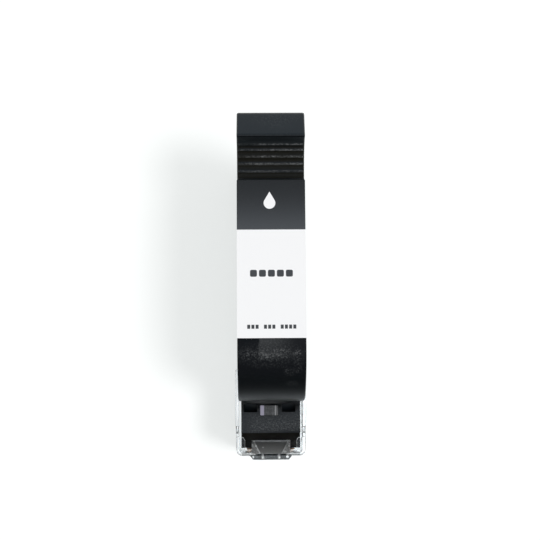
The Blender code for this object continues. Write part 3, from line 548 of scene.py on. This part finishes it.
def grip_plastic(settings):
    """The dull plastic of the finger scoop: its ribs' crests rubbed pale with a painted highlight along
    them, a painted bluish reflection on the flanks that face up, and a painted lighter reflection on the
    beak's front.
    """
    made = Finish("grip_plastic", settings.grip, 0.55, Specular_IOR_Level=0.19)
    across, up = made.y - SCOOP_CENTRE[0], made.z - SCOOP_CENTRE[1]
    inward = (across * across + up * up) ** 0.5
    specks = made.noise(3.2, detail=4.0, roughness=0.75, at=made.stretched(0.7, 1.0, 1.0))
    low = made.noise(0.35, detail=3.0, at=made.stretched(1.0, 2.0, 2.0))
    # Along the ribs' crests: real rubbed wear in specks plus a painted highlight, whose strength changes rib
    # by rib and is weaker on the left
    crest = inward.step(SCOOP_RADIUS - 0.12, SCOOP_RADIUS - 0.5) * made.y.step(33.3, 33.6)
    rubbed_and_highlight = crest * (specks.step(0.42, 0.62) * 0.72 + 0.03) * (0.35 + low.step(0.3, 0.6) * 0.85)
    rubbed_and_highlight = rubbed_and_highlight * (0.45 + made.y.step(34.0, 38.0) * 0.68 + made.y.step(40.0, 42.5) * 0.7)
    rubbed_and_highlight = rubbed_and_highlight * (1 - made.y.step(38.0, 40.0) * made.x.step(-2.5, -6.5) * 0.55)
    # Painted reflection on the beak's front: a lighter bluish tone mixed in below
    beak = made.z.step(69.8, 71.4) * made.y.step(41.4, 42.6)
    # Painted reflection: bluish on the rib flanks that face up, chosen by the direction they face
    flank_reflection = made.facing()[1].step(-0.65, 0.0) * inward.step(SCOOP_RADIUS + 0.05, SCOOP_RADIUS - 0.15)
    shade = made.mix(flank_reflection * 0.8, settings.grip, settings.flank_reflection)
    shade = made.mix(beak * 0.9, shade, settings.beak)
    shade = made.mix(specks.step(0.45, 0.8) * 0.35, shade, darker(settings.dust, 0.35))
    made.set("Base Color", made.mix(rubbed_and_highlight, shade, settings.wear_and_highlight))
    made.set("Roughness", 0.5 + specks * 0.15)
    made.bump(specks, 0.02)
    return made


def head_plastic(settings):
    """The dark smooth plastic of the snout's tip, stained by ink."""
    made = Finish("head_plastic", settings.head, 0.45, Specular_IOR_Level=0.16)
    stain = made.noise(0.8, detail=4.0, roughness=0.65)
    made.set("Base Color", made.mix(stain.step(0.4, 0.7), settings.head, darker(settings.head, 1.5)))
    made.set("Roughness", 0.4 + stain * 0.15)
    made.bump(stain, 0.01)
    return made


def plug_plastic(settings):
    """The grey plug of the fill port, with dust, fine lines, painted coloured light on its left edge and a
    painted highlight on its pale step.
    """
    made = Finish("plug_plastic", settings.plug, 0.42)
    low, high = (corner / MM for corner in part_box("fill_plug"))
    dust = made.noise(1.8, detail=4.0, roughness=0.7)
    lines = made.noise(2.2, detail=2.0, at=made.stretched(1.0, 0.08, 1.0))
    # Painted light: a coloured strip on the plug's left edge and a pale highlight on its right step
    edge = made.x.step(low.x + PLUG_EDGE_LIGHT[0], low.x + PLUG_EDGE_LIGHT[1])
    step = made.x.within(high.x - PLUG_STEP_HIGHLIGHT[0], high.x - PLUG_STEP_HIGHLIGHT[1], soft=0.08)
    shade = made.mix(dust.step(0.4, 0.75) * 0.6, settings.plug, settings.plug_dust)
    shade = made.mix(lines.step(0.52, 0.66) * 0.35, shade, settings.plug_lines)
    shade = made.mix(edge * 0.85, shade, settings.plug_edge_light)
    shade = made.mix(step * 0.7, shade, settings.plug_step_highlight)
    made.set("Base Color", shade)
    made.set("Roughness", 0.34 + dust * 0.25)
    made.bump(dust, 0.012)
    return made


class CARTRIDGE_OT_body(bpy.types.Operator):
    """Builds the smooth moulded body and the plug of its fill port"""
    bl_idname = "cartridge.body"
    bl_label = "Body"

    def execute(self, context):
        settings = context.scene.cartridge_body
        form = skin("pen_body")
        plug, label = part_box("fill_plug")[0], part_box("spine_label")[1]
        tip, beak = plug.y - TIP_BELOW_PLUG, [reach * MM for reach in BEAK_TIP]
        for face in form.faces:
            middle = face.calc_center_median()
            if middle.y < tip and middle.z > NEAR_FRONT * plug.z:
                face.material_index = 2
            elif label.y < middle.y < beak[0] and NEAR_FRONT * label.z < middle.z < beak[1]:
                face.material_index = int(abs(face.normal.x) < 0.5)
        piece = place(form, "body_shell", (body_plastic(settings), grip_plastic(settings),
                                           head_plastic(settings)), "cartridge", "body_plastic")
        level_faces(piece)
        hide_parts("pen_body")
        dress("fill_plug", plug_plastic(settings))
        return {"FINISHED"}


class CARTRIDGE_OT_covers(bpy.types.Operator):
    """Builds the two pressed steel covers"""
    bl_idname = "cartridge.covers"
    bl_label = "Side covers"

    def execute(self, context):
        settings = context.scene.cartridge_covers
        steel = Finish("cover_steel", settings.steel, 0.3, Metallic=1.0, Anisotropic=0.5)
        rolled = steel.noise(2.4, detail=6.0, roughness=0.75, at=steel.stretched(1.0, 0.02, 1.0))
        cloud = steel.noise(0.06, detail=3.0, roughness=0.5)
        scratches = steel.noise(0.5, detail=6.0, roughness=0.8, at=steel.stretched(1.0, 1.0, 0.10))
        steel.set("Base Color", steel.mix(rolled.step(0.35, 0.65) * 0.55 + scratches.step(0.60, 0.66) * 0.25,
                                          settings.steel, darker(settings.steel, 0.66)))
        steel.set("Roughness", 0.16 + rolled * 0.20 + cloud * 0.10)
        steel.bump(rolled * 1.5 + scratches.step(0.6, 0.72) * 0.5, 0.010)
        for node in ("side_cover_left", "side_cover_right"):
            form = skin(node)
            outer = max(abs(corner.x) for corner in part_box(node))
            sheet = [face for face in form.faces
                     if abs(face.normal.x) > 0.99 and abs(face.calc_center_median().x) > outer - 0.05 * MM]
            for thickness, depth in ((settings.border, 0.0), (settings.panel_step, -settings.panel_depth)):
                bmesh.ops.inset_region(form, faces=sheet, thickness=thickness, depth=depth,
                                       use_even_offset=True)
            piece = place(form, node.replace("side_cover", "pressed_cover"), (steel,), "cartridge",
                          "cover_steel", smooth=math.radians(32))
            level_faces(piece)
            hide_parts(node)
        return {"FINISHED"}


class CARTRIDGE_OT_label(bpy.types.Operator):
    """Prints the label with fields of colour and simple shapes"""
    bl_idname = "cartridge.label"
    bl_label = "Label"

    def execute(self, context):
        settings = context.scene.cartridge_label
        low, high = (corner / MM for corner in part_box("spine_label"))
        label = Finish("label_print", settings.paper, 0.3)
        x = label.x
        from_top = high.y - label.y
        field = from_top.step(settings.black_field / MM + 0.03, settings.black_field / MM - 0.03)
        drop_x, drop_y = x + DROP_LEFT, label.y - (high.y - DROP_FROM_TOP)
        ball = (drop_x * drop_x + drop_y * drop_y).step(DROP_RADIUS ** 2 + 0.1, DROP_RADIUS ** 2 - 0.1)
        taper = ((DROP_TIP - drop_y) * DROP_SLOPE - abs(drop_x)).step(-0.03, 0.03) * drop_y.step(0.86, 0.90)
        drop = (ball + taper).step(0.4, 0.6)
        cell = (x + SQUARES_HALF) / SQUARE_PITCH
        square = (cell - cell.floor() - 0.5) * SQUARE_PITCH
        rise = label.y - (low.y + SQUARES_RISE)
        squares = (abs(square) ** 5 + abs(rise) ** 5).step(1.35, 1.05) * x.within(-6.6, 6.6)
        tick = (x + DASHES_HALF) / DASH_PITCH
        number = tick.floor()
        dashes = (tick - number).within(0.14, 0.86, soft=0.04) * x.within(-7.38, 7.38)
        dashes = dashes * (label.y - low.y).within(*DASHES_RISE)
        for gap in GAPS:
            dashes = dashes * (1 - number.within(*gap))
        fibre = label.noise(3.0, detail=5.0, roughness=0.7)
        paper = label.mix(fibre * 0.5, settings.paper, darker(settings.paper, 0.985))
        marked = label.mix(squares + dashes, paper, settings.grey)
        black = label.mix(drop, settings.ink, settings.paper)
        label.set("Base Color", label.mix(field, marked, black))
        label.set("Roughness", 0.34 - field * 0.26 + fibre * 0.03)
        label.bump(fibre, 0.002)
        dress("spine_label", label)
        return {"FINISHED"}


def clear_plastic(settings):
    """Clear plastic with faint flow marks, with painted dark lines and a painted grey channel along the rim
    of its walls that stand in for dark things seen through them, and painted glints.
    """
    made = Finish("clear_plastic", settings.tint, 0.03, Transmission_Weight=1.0, IOR=1.35)
    low, high = (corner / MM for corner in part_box("protective_clip"))
    marks = made.noise(1.2, detail=4.0, roughness=0.7)
    rim = made.facing()[2].step(0.5, 0.9) * made.z.step(26.0, 27.0)
    across = (abs(made.x) - (high.x - RIM_SIDE - CLIP_CORNER)).above(0.0)
    down = (low.y + RIM_FOOT + CLIP_CORNER - made.y).above(0.0)
    inset = CLIP_CORNER - (across * across + down * down) ** 0.5
    # Painted dark lines along the walls' rim, standing in for dark things seen through the clear plastic
    lines = inset.within(-0.1, 0.42, soft=0.06) + inset.within(0.80, 1.3, soft=0.06)
    front_wall = down.step(0.4, 0.7) * across.step(0.4, 0.0)
    lines = lines * made.y.step(-38.0, -49.0) * (0.15 + down.step(0.0, 0.9) * 0.48 - front_wall * 0.40)
    lines = lines + front_wall * 0.71
    # Painted grey in the channel and at its foot; the glints below are painted highlights that lighten it
    channel = abs(made.x).step(CHANNEL_HALF, CHANNEL_HALF - 0.3) * made.y.step(low.y + 1.6, low.y + 1.3)
    foot = channel * (made.y.step(low.y + 0.55, low.y + 0.40) + abs(made.x).step(5.9, 6.3))
    streaks = made.noise(0.8, detail=3.0, at=made.stretched(1.0, 0.3, 1.0)).step(0.35, 0.7)
    glints = made.spot(-5.8, low.y + 0.95, 0.5, 0.6) + made.spot(5.4, low.y + 0.95, 0.7, 0.7)
    grey = rim * (lines + channel * (0.62 + streaks * 0.2) + foot * 0.25) * (1 - glints * 0.7)
    made.set("Base Color", made.mix(grey, settings.tint, settings.outline))
    made.set("Roughness", 0.02 + marks.step(0.55, 0.8) * 0.12)
    made.bump(made.noise(0.25, detail=2.0), 0.06)
    return made


def frosted_plastic(settings):
    """The frosted face of the thumb lip, with painted light and shade: paler towards its root, darker
    towards its top, and painted highlights along the edges of its hollow, on its cheeks and in a few spots.
    """
    made = Finish("frosted_plastic", settings.frost, 0.3, Transmission_Weight=0.7, IOR=1.35)
    low, high = LIP_REACH
    rise = (made.y - low) / (high - low)
    edge = abs(made.x) - (rise * HOLLOW_SPREAD + HOLLOW_HALF)
    scuffs_and_glints = made.noise(1.5, detail=5.0, roughness=0.7)
    cheeks = edge.step(-0.15, 0.25)
    line = edge.within(-0.25, 0.12, soft=0.12)
    # Painted light and shade on the lip's face: paler towards its root and near black towards its top
    pale = (1 - rise.step(0.0, 0.9)) * 0.27 + rise.step(0.93, 0.83) * 0.10
    pale = pale + cheeks * (0.05 + scuffs_and_glints.step(0.45, 0.7) * 0.5) * (1.1 - rise * 0.8)
    # Painted highlights along the edges of the hollow, as sparkles on the cheeks and as the spots below
    pale = pale + line * (0.75 - rise * 0.6) + cheeks * scuffs_and_glints.step(0.54, 0.62) * 0.7
    pale = made.spots(LIP_HIGHLIGHTS, pale)
    made.set("Base Color", made.mix(pale, darker(settings.frost, 0.05), settings.frost))
    made.set("Roughness", 0.24 + scuffs_and_glints * 0.1)
    made.bump(scuffs_and_glints * cheeks, 0.03)
    return made


def bright_edge(settings):
    """The cut edge inside the clip's front wall, which catches the light."""
    made = Finish("bright_edge", settings.frost, 0.25, Transmission_Weight=0.35, IOR=1.3)
    nicks = made.noise(1.4, detail=3.0)
    made.set("Base Color", made.mix(nicks.step(0.35, 0.6), darker(settings.frost, 0.45), settings.frost))
    made.set("Roughness", 0.2 + nicks * 0.2)
    return made


def seal_elastomer(settings):
    """The soft dark pad over the nozzles."""
    made = Finish("seal_elastomer", settings.seal, 0.6)
    pores = made.noise(3.0, detail=3.0)
    made.set("Base Color", made.mix(pores.step(0.4, 0.7), settings.seal, darker(settings.seal, 1.5)))
    made.bump(pores, 0.03)
    return made


def sort_clip_faces(form):
    """Gives the thumb lip's face and the front wall's inner edge slots of their own."""
    for face in form.faces:
        middle = face.calc_center_median()
        on_lip = middle.z > CLIP_FRONT * MM + 0.2 * MM and middle.y < LIP_REACH[1] * MM + 0.05 * MM
        inner_edge = (CLIP_FRONT - EDGE_DEPTH[0]) * MM < middle.z < (CLIP_FRONT - EDGE_DEPTH[1]) * MM and (
            abs(middle.x) < EDGE_HALF * MM and middle.y < EDGE_TOP * MM)
        if on_lip:
            face.material_index = 1
        elif inner_edge and abs(face.normal.z) < 0.3:
            face.material_index = 2


def weigh_clip_edges(form):
    """Weights for the rounding of the clip's sharp edges, smaller along the thumb lip's face."""
    weight = form.edges.layers.float.new("bevel_weight_edge")
    for edge in form.edges:
        if edge.is_manifold and edge.calc_face_angle() > math.radians(40):
            edge[weight] = 0.3 if any(face.material_index == 1 for face in edge.link_faces) else 1.0


class CARTRIDGE_OT_clip(bpy.types.Operator):
    """Builds the clear protective clip and its soft nozzle pad"""
    bl_idname = "cartridge.clip"
    bl_label = "Protective clip"

    def execute(self, context):
        settings = context.scene.cartridge_clip
        form = skin("protective_clip")
        sort_clip_faces(form)
        weigh_clip_edges(form)
        finishes = (clear_plastic(settings), frosted_plastic(settings), bright_edge(settings))
        piece = place(form, "clear_clip", finishes, "clip", "clear_plastic", smooth=math.radians(28))
        rounding = piece.modifiers.new("moulded edges", "BEVEL")
        rounding.width = settings.edge
        rounding.segments = 2
        rounding.limit_method = "WEIGHT"
        rounding.use_clamp_overlap = False
        level_faces(piece)
        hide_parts("protective_clip")
        dress("nozzle_seal", seal_elastomer(settings))
        return {"FINISHED"}


def crumpled_film(node, settings):
    """One film wall as a single sheet, with folds that fade out towards its sealed rim."""
    form = skin(node)
    low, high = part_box(node)
    side = math.copysign(1.0, low.x)
    crown = max(abs(low.x), abs(high.x))
    rim = min(abs(low.x), abs(high.x)) + settings.film_thickness
    inward = [face for face in form.faces if face.normal.x * side < 0.3]
    bmesh.ops.delete(form, geom=inward, context="FACES")
    for axis, normal in ((1, (0, 1, 0)), (2, (0, 0, 1))):
        steps = int((high[axis] - low[axis]) / FILM_GRID)
        for step in range(1, steps):
            at = Vector((0.0, 0.0, 0.0))
            at[axis] = low[axis] + step * FILM_GRID
            bmesh.ops.bisect_plane(form, geom=form.verts[:] + form.edges[:] + form.faces[:],
                                   dist=0.01 * MM, plane_co=at, plane_no=normal)
    for corner in form.verts:
        spread = min(max((abs(corner.co.x) - rim) / (crown - rim), 0.0), 1.0)
        large = abs(noise.noise(corner.co / FOLD_LENGTH))
        small = abs(noise.noise(corner.co * SMALL_FOLDS / FOLD_LENGTH))
        corner.co.x += side * spread * settings.crease * (1.3 - 3.0 * (large + 0.5 * small))
    return form, side, rim, crown


def bowed_band(settings):
    """The endless spring strip, bowed between the plates and narrower at its two turns."""
    low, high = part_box("bow_spring")
    middle, half = (low + high) / 2, (high - low) / 2
    form = bmesh.new()
    for inset in (0.0, settings.strip):
        ring = bmesh.ops.create_circle(form, segments=settings.turns, radius=1.0)["verts"]
        bmesh.ops.scale(form, vec=(half.x - inset, half.y - inset, 1.0), verts=ring)
    bmesh.ops.bridge_loops(form, edges=form.edges[:])
    bmesh.ops.translate(form, vec=(0.0, 0.0, -half.z), verts=form.verts)
    raised = bmesh.ops.extrude_face_region(form, geom=form.faces[:])["geom"]
    bmesh.ops.translate(form, vec=(0.0, 0.0, 2 * half.z),
                        verts=[item for item in raised if isinstance(item, bmesh.types.BMVert)])
    for corner in form.verts:
        corner.co.z *= 1.0 - BAND_TAPER * (corner.co.y / half.y) ** 4
    bmesh.ops.translate(form, vec=middle, verts=form.verts)
    bmesh.ops.recalc_face_normals(form, faces=form.faces)
    return form, high.x


class CARTRIDGE_OT_ink_bag(bpy.types.Operator):
    """Builds the two film walls of the ink bag and the bow spring, and finishes the guards and plates"""
    bl_idname = "cartridge.ink_bag"
    bl_label = "Ink bag"

    def execute(self, context):
        settings = context.scene.cartridge_bag
        film = Finish("bag_film", settings.film, 0.25, Metallic=0.6)
        creases = film.noise(0.35, detail=5.0, roughness=0.6)
        film.set("Base Color", film.mix(creases.step(0.35, 0.7) * 0.4, settings.film,
                                        darker(settings.film, 0.8)))
        film.set("Roughness", 0.18 + creases * 0.2)
        film.bump(creases, 0.12)
        for name in ("left", "right"):
            form, side, rim, crown = crumpled_film(f"bag_film_{name}", settings)
            wall = place(form, f"crumpled_film_{name}", (film,), None, "bag_film")
            skin_thickness = wall.modifiers.new("film thickness", "SOLIDIFY")
            skin_thickness.thickness = settings.film_thickness
            skin_thickness.offset = -1.0
            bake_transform(wall)
            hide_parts(f"bag_film_{name}")
        guard = Finish("guard_film", settings.guard, 0.3)
        haze = guard.noise(0.6, detail=3.0)
        guard.set("Roughness", 0.22 + haze * 0.2)
        guard.set("Base Color", guard.mix(haze, settings.guard, darker(settings.guard, 0.9)))
        plate = Finish("plate_steel", settings.plate, 0.28, Metallic=1.0)
        rolled = plate.noise(5.0, detail=4.0, at=plate.stretched(1.0, 0.05, 1.0))
        plate.set("Roughness", 0.2 + rolled * 0.18)
        plate.bump(rolled, 0.004)
        for name in ("left", "right"):
            dress(f"edge_guard_{name}", guard)
            dress(f"spring_plate_{name}", plate)
        steel = Finish("spring_steel", settings.spring, 0.25, Metallic=1.0)
        drawn = steel.noise(6.0, detail=3.0, at=steel.stretched(0.1, 0.1, 1.0))
        steel.set("Roughness", 0.2 + drawn * 0.15)
        steel.bump(drawn, 0.004)
        form, reach = bowed_band(settings)
        band = place(form, "bowed_band", (steel,), "cartridge", "spring_steel", smooth=math.radians(30))
        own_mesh(band)
        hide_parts("bow_spring")
        return {"FINISHED"}


def liner_plastic(settings):
    """The clouded soft plastic of the liner ring."""
    made = Finish("liner_plastic", settings.liner, 0.5)
    cloud = made.noise(0.4, detail=3.0)
    made.set("Base Color", made.mix(cloud, settings.liner, settings.liner_shade))
    made.set("Roughness", 0.42 + cloud * 0.15)
    return made


def filter_mesh(settings):
    """The filter's woven wires."""
    made = Finish("filter_mesh", settings.wire, 0.5, Metallic=1.0)
    weave = ((made.x * WEAVE).sine() * (made.z * WEAVE).sine()).step(-0.4, 0.6)
    made.set("Base Color", made.mix(weave, settings.mesh_gap, settings.wire))
    made.bump(weave, 0.05)
    return made


def nozzle_gold(settings):
    """The plated nozzle plate with its two rows of nozzles."""
    made = Finish("nozzle_gold", settings.gold, 0.25, Metallic=1.0)
    row = abs(abs(made.x) - NOZZLE_ROW)
    pitch = made.z * NOZZLES
    holes = (row * row + ((pitch - pitch.floor() - 0.5) / NOZZLES) ** 2).step(0.012, 0.006)
    made.set("Base Color", made.mix(holes, settings.gold, settings.nozzle))
    made.set("Roughness", 0.2 + made.noise(2.0) * 0.15)
    return made


def flex_polyimide(settings):
    """The circuit's amber film with its traces, and its contact pads on the snout's back."""
    made = Finish("flex_polyimide", settings.amber, 0.3)
    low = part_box("flex_circuit")[0] / MM
    pads = made.z.step(low.z + 0.06, low.z + 0.02) * made.y.step(low.y + 4.0, low.y + 4.2)
    lines = made.x / TRACE_PITCH
    traces = (lines - lines.floor()).within(0.25, 0.75, soft=0.06)
    film = made.mix(traces, settings.amber, settings.trace)
    made.set("Base Color", made.mix(pads, film, settings.pad))
    made.set("Metallic", pads)
    made.set("Roughness", 0.3 - pads * 0.06)
    made.bump(traces, 0.01)
    return made


class CARTRIDGE_OT_inside(bpy.types.Operator):
    """Finishes the liner, the filter, the printhead and its flexible circuit"""
    bl_idname = "cartridge.inside"
    bl_label = "Liner and printhead"

    def execute(self, context):
        settings = context.scene.cartridge_inside
        dress("inner_frame", liner_plastic(settings))
        dress("filter_screen", filter_mesh(settings))
        silicon = Finish("die_silicon", settings.silicon, 0.15, Metallic=0.4)
        silicon.set("Roughness", 0.1 + silicon.noise(1.0, detail=2.0) * 0.12)
        dress("printhead_die", silicon)
        dress("nozzle_plate", nozzle_gold(settings))
        resin = Finish("bead_resin", settings.resin, 0.25)
        resin.set("Roughness", 0.18 + resin.noise(0.8) * 0.2)
        for side in ("front", "back"):
            dress(f"encapsulant_bead_{side}", resin)
        dress("flex_circuit", flex_polyimide(settings))
        return {"FINISHED"}


class CARTRIDGE_OT_stage(bpy.types.Operator):
    """Lays the white table and sets the light and the camera"""
    bl_idname = "cartridge.stage"
    bl_label = "Table, light and camera"

    def execute(self, context):
        settings = context.scene.cartridge_stage
        scene = context.scene
        scene.view_settings.view_transform = "Standard"
        form = bmesh.new()
        bmesh.ops.create_grid(form, x_segments=1, y_segments=1, size=TABLE_HALF)
        bmesh.ops.translate(form, vec=(0.0, 0.0, -TABLE_GAP), verts=form.verts)
        floor = place(form, "table_top", (self.table_white(settings),), None, None)
        self.light_world(scene, settings)
        key = bpy.data.lights.new("key_light", "SUN")
        key.energy = settings.key
        key.angle = settings.key_softness
        lamp = bpy.data.objects.new("key_light", key)
        lamp.visible_glossy = False
        lamp.rotation_euler = Vector(KEY_DIRECTION).to_track_quat("Z", "Y").to_euler()
        scene.collection.objects.link(lamp)
        lens = bpy.data.cameras.new("camera")
        lens.lens = settings.focal
        lens.sensor_width = SENSOR_WIDTH
        lens.clip_start = 0.01
        view = bpy.data.objects.new("camera", lens)
        placed = Matrix.Translation(CAMERA_PLACE)
        for axis, turn in CAMERA_TURNS:
            placed = placed @ Matrix.Rotation(math.radians(turn), 4, axis)
        view.matrix_world = placed
        scene.collection.objects.link(view)
        scene.camera = view
        return {"FINISHED"}

    def table_white(self, settings):
        """White that takes shadows, shows paler to the camera and has a tone of its own in a mirror."""
        grey = [settings.floor] * 3
        made = Finish("table_white", grey, 0.9, Specular_IOR_Level=0.0, Emission_Strength=1.0)
        mirrored = made.node("ShaderNodeValToRGB", {"stops": TABLE_IN_MIRROR},
                             {0: (made.y + TABLE_MIRRORED) / TABLE_MIRRORED})
        made.set("Base Color", made.mix(made.ray("Is Glossy Ray"), grey, mirrored))
        glow = [settings.through * tone for tone in TABLE_TINT]
        made.set("Emission Color", made.mix(made.seen(settings.glow / settings.through), BLACK, glow))
        return made

    def light_world(self, scene, settings):
        """White where it is seen or shines through, and a striped softbox where it is mirrored."""
        world = bpy.data.worlds.new("white_room")
        scene.world = world
        world.use_nodes = True
        room = Shader(world.node_tree)
        towards = room.node("ShaderNodeTexCoord", {}, {}, output="Generated")
        x, y, z = room.axes(towards)
        lean = y.math("ARCTAN2", y, z) / math.pi + 0.5
        ahead = room.node("ShaderNodeValToRGB", {"stops": ROOM_IN_MIRROR}, {0: lean})
        aside = room.node("ShaderNodeValToRGB", {"stops": WALLS_IN_MIRROR}, {0: z * 0.5 + 0.5})
        mirrored = room.mix(abs(x).step(0.70, 0.88), ahead, aside)
        even = room.mix(room.seen(), [settings.sky * tone for tone in SKY_TINT], WHITE)
        background = world.node_tree.nodes["Background"]
        room.feed(background.inputs["Color"], room.mix(room.ray("Is Glossy Ray"), even, mirrored))
        room.feed(background.inputs["Strength"], 1.0)


class CARTRIDGE_PT_pieces(bpy.types.Panel):
    """Lists the cartridge's pieces and their settings"""
    bl_idname = "CARTRIDGE_PT_pieces"
    bl_label = "Ink cartridge"
    bl_space_type = "VIEW_3D"
    bl_region_type = "UI"
    bl_category = "Cartridge"

    def draw(self, context):
        for operator in OPERATORS:
            self.layout.operator(operator.bl_idname)
        for name, kind in SETTINGS.items():
            box = self.layout.box()
            for field in kind.__annotations__:
                box.prop(getattr(context.scene, name), field)


SETTINGS = {
    "cartridge_body": BodySettings,
    "cartridge_covers": CoverSettings,
    "cartridge_label": LabelSettings,
    "cartridge_clip": ClipSettings,
    "cartridge_bag": BagSettings,
    "cartridge_inside": InsideSettings,
    "cartridge_stage": StageSettings,
}
OPERATORS = (CARTRIDGE_OT_body, CARTRIDGE_OT_covers, CARTRIDGE_OT_label, CARTRIDGE_OT_clip,
             CARTRIDGE_OT_ink_bag, CARTRIDGE_OT_inside, CARTRIDGE_OT_stage)


def register():
    for kind in (*SETTINGS.values(), *OPERATORS, CARTRIDGE_PT_pieces):
        bpy.utils.register_class(kind)
    for name, kind in SETTINGS.items():
        setattr(bpy.types.Scene, name, PointerProperty(type=kind))


def unregister():
    for name in SETTINGS:
        delattr(bpy.types.Scene, name)
    for kind in reversed((*SETTINGS.values(), *OPERATORS, CARTRIDGE_PT_pieces)):
        bpy.utils.unregister_class(kind)


def main():
    register()
    for operator in OPERATORS:
        group, name = operator.bl_idname.split(".")
        getattr(getattr(bpy.ops, group), name)()


if __name__ == "__main__":
    main()
